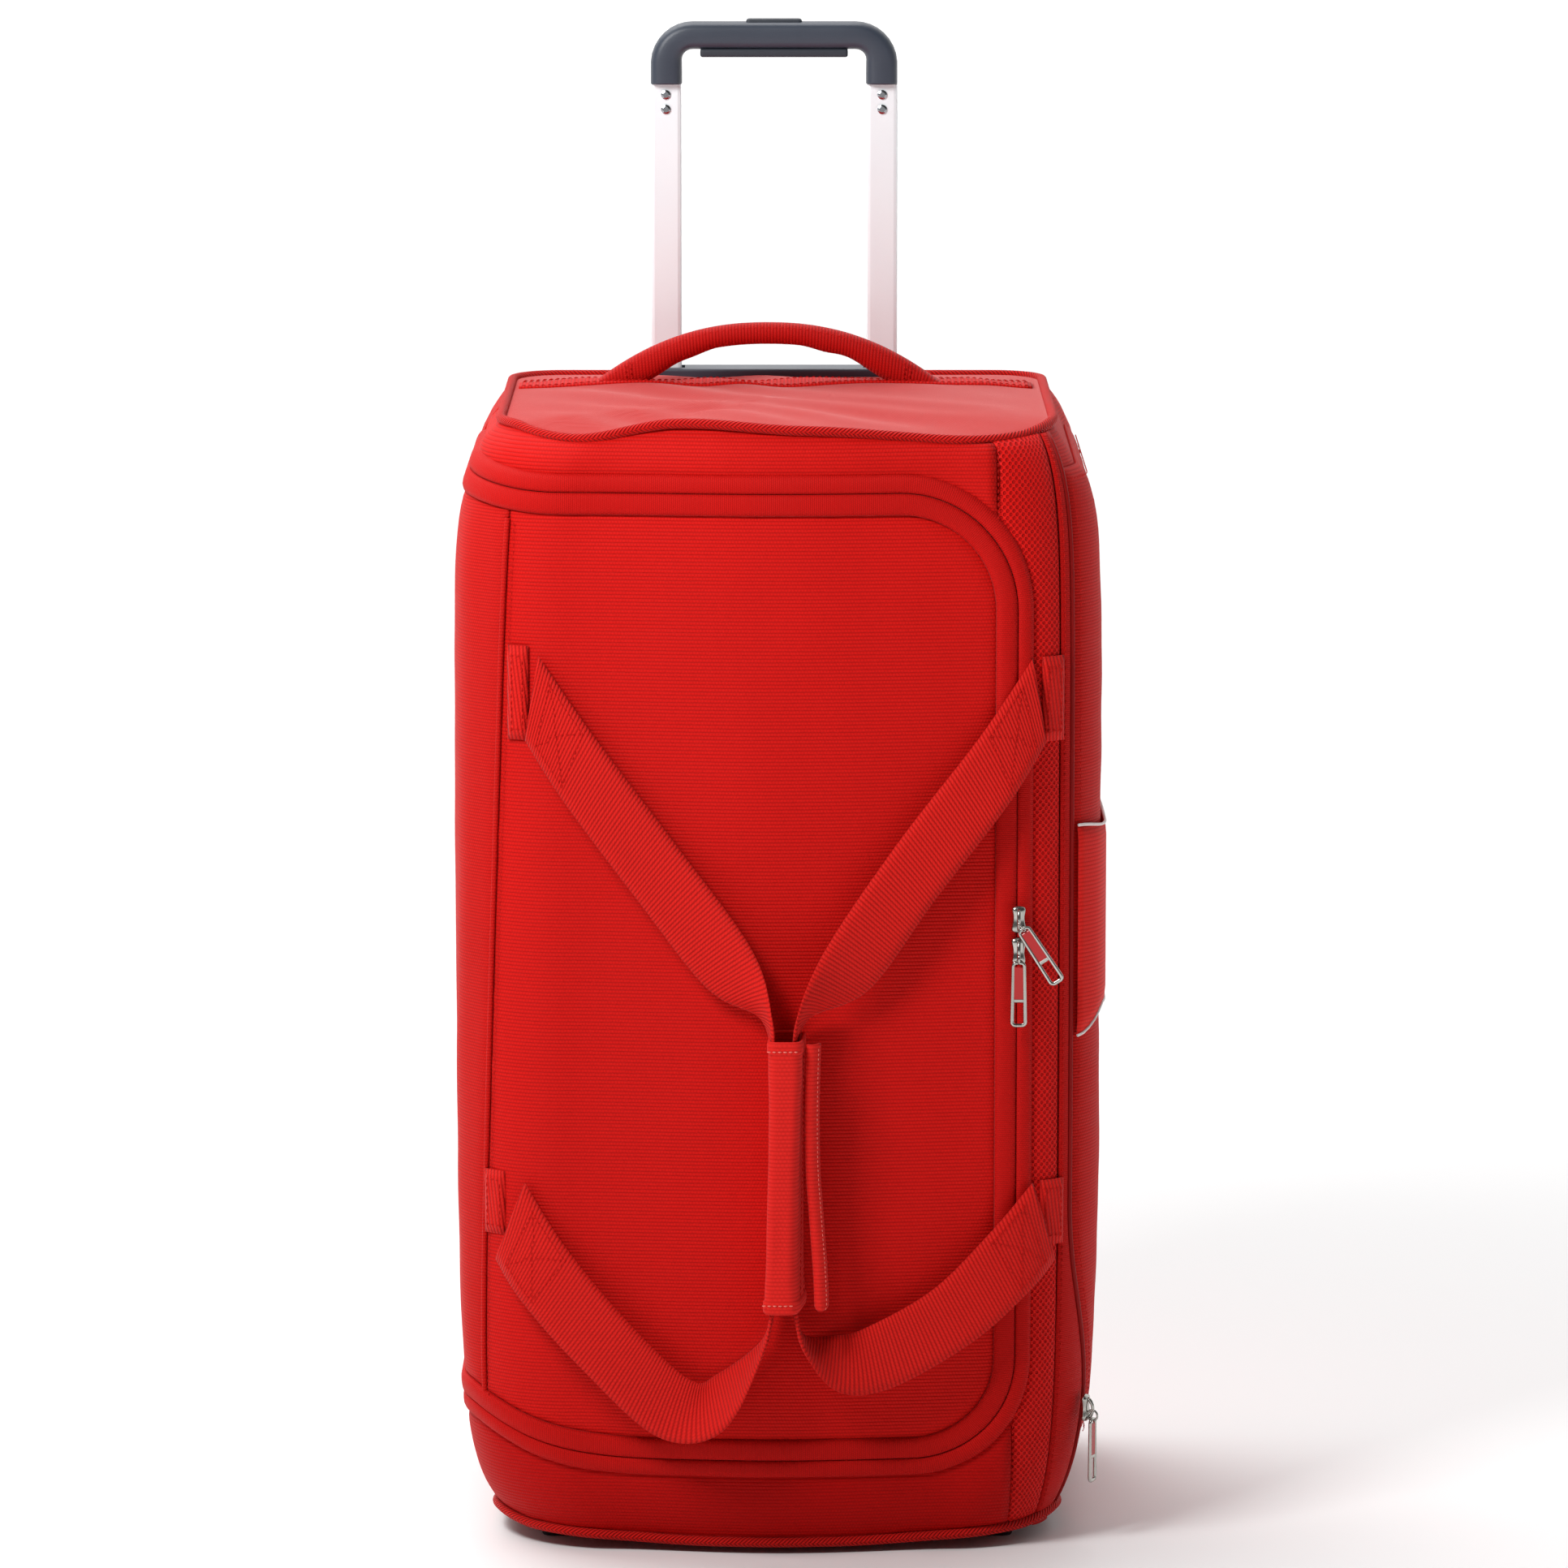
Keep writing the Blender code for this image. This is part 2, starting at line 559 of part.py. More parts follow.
def make_carry_handles():
    # Each station: middle of the webbing, then half of its width as a vector
    left = (
        ((-0.1455, -0.1505, 0.5235), (0.0040, 0.0020, 0.0250)),
        ((-0.1180, -0.1590, 0.4830), (0.0085, 0.0015, 0.0200)),
        ((-0.0720, -0.1650, 0.4220), (0.0110, 0.0000, 0.0172)),
        ((-0.0280, -0.1720, 0.3640), (0.0130, -0.0060, 0.0130)),
        ((-0.0060, -0.1780, 0.3350), (0.0030, -0.0162, 0.0030)),
        ((-0.0020, -0.1780, 0.3050), (0.0000, -0.0165, 0.0000)),
        ((-0.0020, -0.1780, 0.2400), (0.0000, -0.0165, 0.0000)),
        ((-0.0020, -0.1780, 0.1700), (0.0000, -0.0165, 0.0000)),
        ((-0.0075, -0.1780, 0.1380), (-0.0010, -0.0165, -0.0020)),
        ((-0.0340, -0.1720, 0.1010), (0.0015, -0.0110, -0.0150)),
        ((-0.0620, -0.1660, 0.0960), (-0.0088, 0.0000, -0.0180)),
        ((-0.1050, -0.1640, 0.1360), (-0.0140, 0.0000, -0.0142)),
        ((-0.1400, -0.1560, 0.1760), (-0.0130, 0.0010, -0.0170)),
        ((-0.1600, -0.1450, 0.2060), (-0.0090, 0.0040, -0.0240)),
    )
    right = (
        ((0.1560, -0.1450, 0.5215), (-0.0040, 0.0020, 0.0250)),
        ((0.1290, -0.1560, 0.4810), (-0.0085, 0.0015, 0.0200)),
        ((0.0830, -0.1650, 0.4220), (-0.0110, 0.0000, 0.0172)),
        ((0.0420, -0.1720, 0.3640), (-0.0130, -0.0060, 0.0130)),
        ((0.0150, -0.1780, 0.3350), (-0.0030, -0.0150, 0.0030)),
        ((0.0100, -0.1780, 0.3050), (0.0000, -0.0155, 0.0000)),
        ((0.0100, -0.1780, 0.2400), (0.0000, -0.0155, 0.0000)),
        ((0.0100, -0.1780, 0.1700), (0.0000, -0.0155, 0.0000)),
        ((0.0150, -0.1780, 0.1400), (0.0010, -0.0155, -0.0020)),
        ((0.0350, -0.1720, 0.1250), (0.0010, -0.0110, -0.0145)),
        ((0.0600, -0.1680, 0.1270), (0.0070, 0.0000, -0.0187)),
        ((0.1050, -0.1640, 0.1520), (0.0116, 0.0000, -0.0163)),
        ((0.1400, -0.1560, 0.1840), (0.0115, 0.0010, -0.0185)),
        ((0.1600, -0.1450, 0.2060), (0.0070, 0.0030, -0.0240)),
    )
    make_strap("left_carry_strap", left, LEFT_HANDLE_AXIS, STRAP_STEPS)
    make_strap("right_carry_strap", right, RIGHT_HANDLE_AXIS, STRAP_STEPS)
    outline = (
        (0.0045, -0.1995), (-0.0070, -0.1995), (-0.0105, -0.1960), (-0.0110, -0.1620),
        (-0.0080, -0.1572), (0.0180, -0.1572), (0.0215, -0.1600), (0.0225, -0.1930),
        (0.0205, -0.1955), (0.0185, -0.1930), (0.0180, -0.1635), (0.0160, -0.1592),
        (-0.0062, -0.1592), (-0.0088, -0.1630), (-0.0085, -0.1945), (-0.0065, -0.1972),
        (0.0045, -0.1972),
    )
    wrap = add_object("grip_wrap", prism(outline, "Z", *WRAP_Z), LEFT_HANDLE_AXIS)
    paint(wrap, RED, 0.75)
    for name, low_x, high_x, low_z, high_z, origin in (
        ("handle_patch_left_upper", -0.1585, -0.1470, 0.4975, 0.5540, (-HALF_WIDTH, HINGE_Y, 0.0)),
        ("handle_patch_left_lower", -0.1735, -0.1620, 0.1960, 0.2350, (-HALF_WIDTH, HINGE_Y, 0.0)),
        ("handle_patch_right_upper", 0.1570, 0.1690, 0.4960, 0.5470, (0.0, 0.0, 0.0)),
        ("handle_patch_right_lower", 0.1570, 0.1700, 0.1900, 0.2300, (0.0, 0.0, 0.0)),
    ):
        make_patch(name, low_x, high_x, low_z, high_z, origin)


# Top grab handle


def make_grab_handle():
    """A padded handle, thick in the middle and flat where its ends are sewn down."""
    sides = 10
    rings = []
    for x, rise, share in GRAB_ARCH:
        ring = []
        for k in range(sides):
            angle = 2 * math.pi * k / sides
            y = GRAB_Y + share * GRAB_HALF_DEPTH * math.cos(angle)
            ring.append((x, y, GRAB_AXIS_Z + rise + share * GRAB_HALF_HEIGHT * math.sin(angle)))
        rings.append(ring)
    handle = add_object("top_grab_handle", stack_rings(rings), (TROLLEY_X, GRAB_Y, GRAB_AXIS_Z))
    smooth(handle, 60)
    paint(handle, STRAP_RED, 0.75)


# Trolley


def make_tube(name, x, size, wall=TUBE_WALL):
    """A rectangular tube, open at both ends, from (width, depth, low, high)."""
    width, depth, low, high = size
    bm = bmesh.new()
    rows = []
    for inset in (0.0, wall):
        corner = max(TUBE_CORNER - inset, 0.0010)
        half_x = width / 2 - inset
        half_y = depth / 2 - inset
        low_corner = (x - half_x, TUBE_Y - half_y)
        high_corner = (x + half_x, TUBE_Y + half_y)
        outline = rounded_rectangle(low_corner, high_corner, corner, 2)
        rows.append([[bm.verts.new((px, py, z)) for px, py in outline] for z in (low, high)])
    count = len(rows[0][0])
    for i in range(count):
        j = (i + 1) % count
        for lower, upper in rows:
            bm.faces.new((lower[i], lower[j], upper[j], upper[i]))
        for end in (0, 1):
            outer, inner = rows[0][end], rows[1][end]
            bm.faces.new((outer[i], outer[j], inner[j], inner[i]))
    tube = add_object(name, bm, (x, TUBE_Y, low))
    paint(tube, SILVER, 0.3, 0.9)
    return tube


def make_trolley():
    tubes = {}
    for side, sign in (("left", -1), ("right", 1)):
        x = TROLLEY_X + sign * TUBE_SPAN / 2
        make_tube("trolley_outer_tube_" + side, x, OUTER_TUBE)
        make_tube("trolley_middle_tube_" + side, x, MIDDLE_TUBE)
        tubes[side] = make_tube("trolley_inner_tube_" + side, x, INNER_TUBE)
    low = (TROLLEY_X - TROLLEY_HALF, BEZEL_Y[0], BEZEL_Z[0])
    high = (TROLLEY_X + TROLLEY_HALF, BEZEL_Y[1], BEZEL_Z[1])
    bezel = box("trolley_bezel", low, high, 0.0015)
    for side, sign in (("left", -1), ("right", 1)):
        x = TROLLEY_X + sign * TUBE_SPAN / 2
        half_x = MIDDLE_TUBE[0] / 2 + 2 * GAP
        half_y = MIDDLE_TUBE[1] / 2 + 2 * GAP
        low = (x - half_x, TUBE_Y - half_y, BEZEL_Z[0] - 0.01)
        high = (x + half_x, TUBE_Y + half_y, BEZEL_Z[1] + 0.01)
        cutter = make_cutter(box("cut_bezel_" + side, low, high))
        apply_boolean(bezel, cutter, "DIFFERENCE")
    paint(bezel, SLATE, 0.45)
    low = (-BRACKET_HALF, BRACKET_Y[0], BRACKET_Z[0])
    high = (BRACKET_HALF, BRACKET_Y[1], BRACKET_Z[1])
    foot_bracket = box("trolley_foot_bracket", low, high, 0.001)
    paint(foot_bracket, BLACK, 0.6)
    make_grip(tubes)


def grip_outline():
    """The grip seen from the front, as (x, z): a bar with two legs and round outer corners."""
    left = TROLLEY_X - GRIP_WIDTH / 2
    right = TROLLEY_X + GRIP_WIDTH / 2
    leg = GRIP_LEG
    outer = GRIP_OUTER_RADIUS
    inner = GRIP_INNER_RADIUS
    points = [(left, GRIP_LEG_Z), (left + leg, GRIP_LEG_Z)]
    points += arc((left + leg + inner, GRIP_UNDER_Z - inner), inner, 180, 90, 4)
    points += arc((right - leg - inner, GRIP_UNDER_Z - inner), inner, 90, 0, 4)
    points += [(right - leg, GRIP_LEG_Z), (right, GRIP_LEG_Z)]
    points += arc((right - outer, GRIP_TOP_Z - outer), outer, 0, 90, 6)
    points += arc((left + outer, GRIP_TOP_Z - outer), outer, 90, 180, 6)
    return points


def make_grip(tubes):
    """The moulded grip, its soft underside, the rivets that hold it, and the release button in its top."""
    middle_z = (GRIP_LEG_Z + GRIP_TOP_Z) / 2
    bm = prism(grip_outline(), "Y", TUBE_Y - GRIP_DEPTH / 2, TUBE_Y + GRIP_DEPTH / 2)
    rim = [e for e in bm.edges if abs(e.verts[0].co.y - e.verts[1].co.y) < 1e-6]
    bmesh.ops.bevel(bm, geom=rim, offset=GRIP_EDGE, segments=2, profile=0.5, affect="EDGES")
    grip = add_object("trolley_grip", bm, (TROLLEY_X, TUBE_Y, middle_z))
    for side, sign in (("left", -1), ("right", 1)):
        x = TROLLEY_X + sign * TUBE_SPAN / 2
        half_x = INNER_TUBE[0] / 2 - TUBE_WALL - TONGUE_GAP
        half_y = INNER_TUBE[1] / 2 - TUBE_WALL - TONGUE_GAP
        low = (x - half_x, TUBE_Y - half_y, TONGUE_Z[0])
        high = (x + half_x, TUBE_Y + half_y, TONGUE_Z[1])
        tongue = box("cut_tongue_" + side, low, high)
        apply_boolean(grip, make_cutter(tongue), "UNION")
        for level, z in zip(("upper", "lower"), RIVET_Z):
            make_rivet(level + "_" + side, x, z, grip, tubes[side])
    pocket_half = BUTTON_HALF_WIDTH + 2 * GAP
    pocket_depth = BUTTON_HALF_DEPTH + 2 * GAP
    low = (TROLLEY_X - pocket_half, TUBE_Y - pocket_depth, BUTTON_POCKET_Z)
    high = (TROLLEY_X + pocket_half, TUBE_Y + pocket_depth, GRIP_TOP_Z + 0.01)
    apply_boolean(grip, make_cutter(box("cut_button_pocket", low, high)), "DIFFERENCE")
    paint(grip, SLATE, 0.5)
    low = (TROLLEY_X - BUTTON_HALF_WIDTH, TUBE_Y - BUTTON_HALF_DEPTH, BUTTON_Z[0])
    high = (TROLLEY_X + BUTTON_HALF_WIDTH, TUBE_Y + BUTTON_HALF_DEPTH, BUTTON_Z[1])
    origin = (TROLLEY_X, TUBE_Y, BUTTON_Z[0])
    button = box("trolley_release_button", low, high, 0.0012, origin)
    paint(button, SLATE, 0.4)
    swing = math.degrees(math.asin(INSERT_HALF / INSERT_RADIUS))
    centre = (TROLLEY_X, GRIP_UNDER_Z - INSERT_DROP + INSERT_RADIUS)
    pad = arc(centre, INSERT_RADIUS, 270 - swing, 270 + swing, 10)
    pad.append((TROLLEY_X + INSERT_HALF, GRIP_UNDER_Z - GAP))
    pad.append((TROLLEY_X - INSERT_HALF, GRIP_UNDER_Z - GAP))
    pad_bm = prism(pad, "Y", TUBE_Y - INSERT_HALF_DEPTH, TUBE_Y + INSERT_HALF_DEPTH)
    insert = add_object("trolley_grip_insert", pad_bm, (TROLLEY_X, TUBE_Y, middle_z))
    paint(insert, BLACK, 0.7)


def y_cylinder(x, z, radius, low_y, high_y, sides=14):
    return prism(circle((x, z), radius, sides), "Y", low_y, high_y)


def make_rivet(label, x, z, grip, tube):
    """A domed rivet through the front of the tube into the grip's tongue, with its holes."""
    front = TUBE_Y - INNER_TUBE[1] / 2
    bm = y_cylinder(x, z, RIVET_SHANK + GAP, front - 0.002, TUBE_Y + 0.002)
    hole = make_cutter(add_object("cut_rivet_" + label, bm))
    apply_boolean(grip, hole, "DIFFERENCE")
    apply_boolean(tube, hole, "DIFFERENCE")
    profile = (
        (TUBE_Y + 0.001, RIVET_SHANK),
        (front - GAP, RIVET_SHANK),
        (front - GAP, RIVET_HEAD),
        (front - 0.0008, RIVET_HEAD),
        (front - 0.0013, 0.6 * RIVET_HEAD),
    )
    rings = [[(px, y, pz) for px, pz in circle((x, z), radius, 14)] for y, radius in profile]
    rivet = add_object("grip_rivet_" + label, stack_rings(rings), (x, front, z))
    smooth(rivet)
    paint(rivet, SILVER, 0.25, 1.0)


# Wheels and feet


def turned_x(name, profile, x, y, z, bore, sides=28):
    """A body turned about the X axis from (offset along X, radius), with a bore through it."""
    start, end = profile[0][0], profile[-1][0]
    bm = bmesh.new()
    rows = []
    for offset, radius in (*profile, (end, bore), (start, bore)):
        rows.append([bm.verts.new((x + offset, py, pz)) for py, pz in circle((y, z), radius, sides)])
    for i, lower in enumerate(rows):
        upper = rows[(i + 1) % len(rows)]
        for k in range(sides):
            n = (k + 1) % sides
            bm.faces.new((lower[k], lower[n], upper[n], upper[k]))
    obj = add_object(name, bm, (x, y, z))
    smooth(obj, 30)
    return obj


def make_wheels():
    half = WHEEL_WIDTH / 2
    rim = WHEEL_RADIUS - TYRE_EDGE
    tyre_profile = (
        (-half, rim),
        (-half + TYRE_EDGE, WHEEL_RADIUS),
        (half - TYRE_EDGE, WHEEL_RADIUS),
        (half, rim),
    )
    hub_profile = ((-half + 0.001, HUB_RADIUS), (half - 0.001, HUB_RADIUS))
    centre = (WHEEL_Y, WHEEL_RADIUS)
    for side, sign in (("left", -1), ("right", 1)):
        x = sign * WHEEL_X
        place = (x, WHEEL_Y, WHEEL_RADIUS)
        tyre = turned_x("tyre_" + side, tyre_profile, *place, HUB_RADIUS + GAP)
        paint(tyre, BLACK, 0.8)
        hub = turned_x("wheel_hub_" + side, hub_profile, *place, AXLE_RADIUS + 2 * GAP)
        paint(hub, SLATE, 0.5)
        low_x, high_x = sorted((sign * HOUSING_X[0], sign * HOUSING_X[1]))
        low = (low_x, HOUSING_Y[0], HOUSING_Z[0])
        high = (high_x, HOUSING_Y[1], HOUSING_Z[1])
        housing = box("wheel_housing_" + side, low, high, HOUSING_EDGE)
        well_outline = circle(centre, WHEEL_RADIUS + WHEEL_CLEARANCE, 30)
        well = prism(well_outline, "X", x - half - WELL_SIDE, x + half + WELL_SIDE)
        apply_boolean(housing, make_cutter(add_object("cut_well_" + side, well)), "DIFFERENCE")
        bore = prism(circle(centre, AXLE_RADIUS + GAP, 12), "X", low_x - 0.01, high_x + 0.01)
        apply_boolean(housing, make_cutter(add_object("cut_axle_" + side, bore)), "DIFFERENCE")
        paint(housing, BLACK, 0.55)
        pin = prism(circle(centre, AXLE_RADIUS, 12), "X", low_x + 0.002, high_x - 0.002)
        axle = add_object("wheel_axle_" + side, pin, place)
        smooth(axle)
        paint(axle, SILVER, 0.3, 1.0)
        make_foot(side, sign * FOOT_X)


def make_foot(side, x):
    """A tapered rubber foot, flat underneath."""
    rings = []
    for (half_x, half_y), z in ((FOOT_BOTTOM, 0.0), (FOOT_TOP, BOTTOM_Z - GAP)):
        low = (x - half_x, FOOT_Y - half_y)
        high = (x + half_x, FOOT_Y + half_y)
        rings.append([(px, py, z) for px, py in rounded_rectangle(low, high, FOOT_CORNER)])
    foot = add_object("front_foot_" + side, stack_rings(rings))
    paint(foot, BLACK, 0.75)


# Zip sliders and pulls


def slider_space(x, y, z, turn):
    """Where a slider sits: its own -Y faces out of the bag, turned about the vertical."""
    return Matrix.Translation((x, y, z)) @ Matrix.Rotation(turn, 4, "Z")


def make_slider(name, space):
    """The slider's body with the arched bridge that holds the pull."""
    width, depth, length = SLIDER_SIZE
    outline = [
        (-width / 2, -length * 0.30),
        (-width * 0.30, -length / 2),
        (width * 0.30, -length / 2),
        (width / 2, -length * 0.30),
        (width * 0.42, length / 2),
        (-width * 0.42, length / 2),
    ]
    bm = prism(outline, "Y", -depth, 0.0)
    rim = [edge for edge in bm.edges if all(vert.co.y < -depth + 1e-6 for vert in edge.verts)]
    bmesh.ops.bevel(bm, geom=rim, offset=0.0012, segments=2, profile=0.5, affect="EDGES")
    body = add_object(name, bm)
    outer = arc((-depth + 0.0004, BRIDGE_Z), BRIDGE_RADIUS, 90, 270, 8)
    bridge_bm = prism(outer, "X", -BRIDGE_WIDTH / 2, BRIDGE_WIDTH / 2)
    bridge = add_object("cut_bridge_" + name, bridge_bm)
    eye = circle((-depth - PULL_BAR_OUT, BRIDGE_Z), BRIDGE_EYE_RADIUS, 12)
    hole = add_object("cut_eye_" + name, prism(eye, "X", -BRIDGE_WIDTH, BRIDGE_WIDTH))
    apply_boolean(body, make_cutter(bridge), "UNION")
    apply_boolean(body, make_cutter(hole), "DIFFERENCE")
    for obj in (body, bridge, hole):
        obj.matrix_world = space
    paint(body, SILVER, 0.2, 1.0)


def make_pull(name, space, lean):
    """The pull tab: a frame with an eye whose bar goes through the bridge, and a slot at its end."""
    depth = SLIDER_SIZE[1]
    bar = Matrix.Translation((0.0, -depth - PULL_BAR_OUT, BRIDGE_Z)) @ Matrix.Rotation(-lean, 4, "Y")
    half = PULL_WIDTH / 2
    outline = rounded_rectangle((-half, -PULL_LENGTH), (half, PULL_BAR), 0.0022, 3)
    bm = prism(outline, "Y", -PULL_THICKNESS / 2, PULL_THICKNESS / 2)
    pull = add_object(name, bm)
    eye_half, eye_end = PULL_EYE
    eye_outline = rounded_rectangle((-eye_half, -eye_end), (eye_half, -PULL_BAR), 0.0008, 2)
    eye = prism(eye_outline, "Y", -0.01, 0.01)
    slot_half, slot_end, slot_start = PULL_SLOT
    slot_low = (-slot_half, -PULL_LENGTH + slot_end)
    slot_high = (slot_half, -PULL_LENGTH + slot_start)
    slot = prism(rounded_rectangle(slot_low, slot_high, 0.0012, 2), "Y", -0.01, 0.01)
    for label, cut in (("eye", eye), ("slot", slot)):
        cutter = make_cutter(add_object("cut_" + label + "_" + name, cut))
        apply_boolean(pull, cutter, "DIFFERENCE")
        cutter.matrix_world = space @ bar
    pull.matrix_world = space @ bar
    paint(pull, SILVER, 0.2, 1.0)


def make_sliders():
    for label, (x, y, z), turn, lean in (
        ("main_zip_{}_upper", (MAIN_SLIDER_X, MAIN_SLIDER_Y, UPPER_SLIDER_Z), 0.0, UPPER_PULL_LEAN),
        ("main_zip_{}_lower", (MAIN_SLIDER_X, MAIN_SLIDER_Y, LOWER_SLIDER_Z), 0.0, 0.0),
        ("pocket_zip_{}", POCKET_SLIDER, POCKET_SLIDER_TURN, 0.0),
    ):
        space = slider_space(x, y, z, turn)
        make_slider(label.format("slider"), space)
        make_pull(label.format("pull"), space, lean)


def main():
    clear_scene()
    cutters = make_cutters()
    make_panels(cutters)
    make_ends(cutters)
    make_piping("top_piping", TOP_Z + 0.0015, TOP_Z, True)
    make_piping("bottom_piping", BOTTOM_Z - 0.0010, BOTTOM_Z, False)
    board = box("back_stiffener_board", BACK_BOARD_LOW, BACK_BOARD_HIGH)
    paint(board, BOARD_GREY, 0.6)
    make_pocket_badge()
    make_carry_handles()
    make_grab_handle()
    make_trolley()
    make_wheels()
    make_sliders()


main()
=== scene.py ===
import json
import math

import bmesh
import bpy
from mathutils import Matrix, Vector, noise

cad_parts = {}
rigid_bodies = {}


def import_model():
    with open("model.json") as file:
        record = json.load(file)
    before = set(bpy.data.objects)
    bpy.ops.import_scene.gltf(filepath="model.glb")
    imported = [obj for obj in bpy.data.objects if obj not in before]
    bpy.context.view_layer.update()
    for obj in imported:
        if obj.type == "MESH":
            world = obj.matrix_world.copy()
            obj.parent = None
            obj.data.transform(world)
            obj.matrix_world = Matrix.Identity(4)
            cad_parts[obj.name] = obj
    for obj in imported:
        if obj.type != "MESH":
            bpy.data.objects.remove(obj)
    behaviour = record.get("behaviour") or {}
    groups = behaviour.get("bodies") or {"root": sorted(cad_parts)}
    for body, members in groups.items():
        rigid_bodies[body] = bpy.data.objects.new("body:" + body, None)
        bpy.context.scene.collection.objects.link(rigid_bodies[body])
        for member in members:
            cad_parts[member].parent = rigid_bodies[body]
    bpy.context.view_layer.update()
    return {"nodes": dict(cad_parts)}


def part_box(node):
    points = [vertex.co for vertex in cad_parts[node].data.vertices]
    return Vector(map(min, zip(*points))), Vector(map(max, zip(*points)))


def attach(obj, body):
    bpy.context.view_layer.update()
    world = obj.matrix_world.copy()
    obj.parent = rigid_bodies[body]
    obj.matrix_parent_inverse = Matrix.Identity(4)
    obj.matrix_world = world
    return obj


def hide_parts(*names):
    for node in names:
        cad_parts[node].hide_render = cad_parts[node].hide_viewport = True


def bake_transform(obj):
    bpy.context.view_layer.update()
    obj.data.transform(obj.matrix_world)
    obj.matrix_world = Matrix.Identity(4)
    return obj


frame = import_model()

NODES = frame["nodes"]

# Shell, read from the frame. s is the distance round the shell from the middle of its front,
# positive to the right, and z is the height, so that (s, z) is also a place on the flat cloth.
FRONT_BOW = 0.010
FRONT_RADIUS = 0.065
REAR_RADIUS = 0.030
HALF_WIDTH = -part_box("left_side_panel")[0][0] - 0.0012
FRONT_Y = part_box("flap_front_panel")[0][1] + FRONT_BOW - 0.0005
BACK_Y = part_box("back_panel")[1][1]
BOTTOM_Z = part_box("bottom_end_panel")[0][2]
TOP_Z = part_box("top_end_panel")[0][2]
TOP_PINCH = 0.0285
TOP_PINCH_REACH = 0.028
BOTTOM_PINCH = 0.026
BOTTOM_PINCH_REACH = 0.042
FOOT_SAG = 0.0055
FOOT_LIFT = 0.0045
FRONT_PINCH_SHARE = 0.6
FRONT_END = HALF_WIDTH - FRONT_RADIUS
SIDE_START = FRONT_END + FRONT_RADIUS * math.pi / 2
SIDE_END = SIDE_START + (BACK_Y - REAR_RADIUS) - (FRONT_Y + FRONT_RADIUS)
BACK_START = SIDE_END + REAR_RADIUS * math.pi / 2
BACK_MIDDLE = BACK_START + HALF_WIDTH - REAR_RADIUS
GATHER_START = 0.150  # beyond this the cloth of the front corners is gathered where the ends are drawn in

# Seams and zip, as places on the flat cloth
HINGE_S = -0.3350
MESH_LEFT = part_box("mesh_corner_panel")[0].x
MESH_LEFT_FOOT = 0.1410
MESH_RIGHT = 0.1729
POCKET_ZIP = 0.1823
POCKET_ZIP_FOOT = 0.2090
POCKET_BACK = 0.4400
ZIP_RIGHT = 0.1430
ZIP_TOP_RADIUS = 0.070
ZIP_BOTTOM_RADIUS = 0.062
FLAP_EDGE = -0.0115
BODY_EDGE = 0.0090
ZIP_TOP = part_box("main_zip_body_tape")[1].z - BODY_EDGE
ZIP_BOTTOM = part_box("main_zip_body_tape")[0].z + BODY_EDGE
CLOTH = 0.0022
WEBBING = 0.038
PIPING_RADIUS = 0.0030
SEAM_SINK = 0.0024
SEAM_REACH = 0.0022
HEM = (0.0, 0.0012, 0.0030, 0.0060, 0.0100)


# Numbers


def srgb(red, green, blue):
    """A linear colour from 0 to 255 sRGB values."""
    def channel(value):
        value /= 255
        return value / 12.92 if value <= 0.04045 else ((value + 0.055) / 1.055) ** 2.4
    return (channel(red), channel(green), channel(blue), 1.0)


def smoothstep(low, high, value):
    t = min(max((value - low) / (high - low), 0.0), 1.0)
    return t * t * (3 - 2 * t)


def ease(value, reach):
    """0 at an edge, rising to 1 a few reaches inside it."""
    return 1 - math.exp(-max(value, 0.0) / reach)


def squared_off(value, power):
    """A sine or cosine made squarer by a power below 1, with its sign kept."""
    return math.copysign(abs(value) ** power, value)


def ease_bell(value, centre, reach):
    """A soft hump, 1 at its centre and 0 a reach away."""
    return smoothstep(reach, 0.0, abs(value - centre))


def spread(start, end, step):
    """Evenly spaced values from start to end, about a step apart."""
    count = max(int(round(abs(end - start) / step)), 1)
    return [start + (end - start) * i / count for i in range(count + 1)]


def ripple(a, b, size, seed):
    """Soft unevenness, from about -1 to 1."""
    return noise.noise(Vector((a / size, b / size, seed)))


def curve(points, steps=12):
    """A smooth curve through the given points, with a few steps from each to the next."""
    points = [Vector(p) for p in points]
    dense = []
    for i in range(len(points) - 1):
        before = points[max(i - 1, 0)]
        after = points[min(i + 2, len(points) - 1)]
        a, b = points[i], points[i + 1]
        for k in range(steps):
            t = k / steps
            dense.append(0.5 * ((2 * a) + (b - before) * t + (2 * before - 5 * a + 4 * b - after) * t * t
                                + (3 * a - before - 3 * b + after) * t ** 3))
    dense.append(points[-1])
    return dense


def evenly(curves, count):
    """The same number of rows on each of some parallel curves, evenly spaced along the first."""
    lengths = [0.0]
    for a, b in zip(curves[0], curves[0][1:]):
        lengths.append(lengths[-1] + (b - a).length)
    rows = []
    k = 0
    for i in range(count):
        target = lengths[-1] * i / (count - 1)
        while k < len(lengths) - 2 and lengths[k + 1] < target:
            k += 1
        share = min((target - lengths[k]) / max(lengths[k + 1] - lengths[k], 1e-12), 1.0)
        rows.append([line[k].lerp(line[k + 1], share) for line in curves])
    return [list(line) for line in zip(*rows)]


# Materials


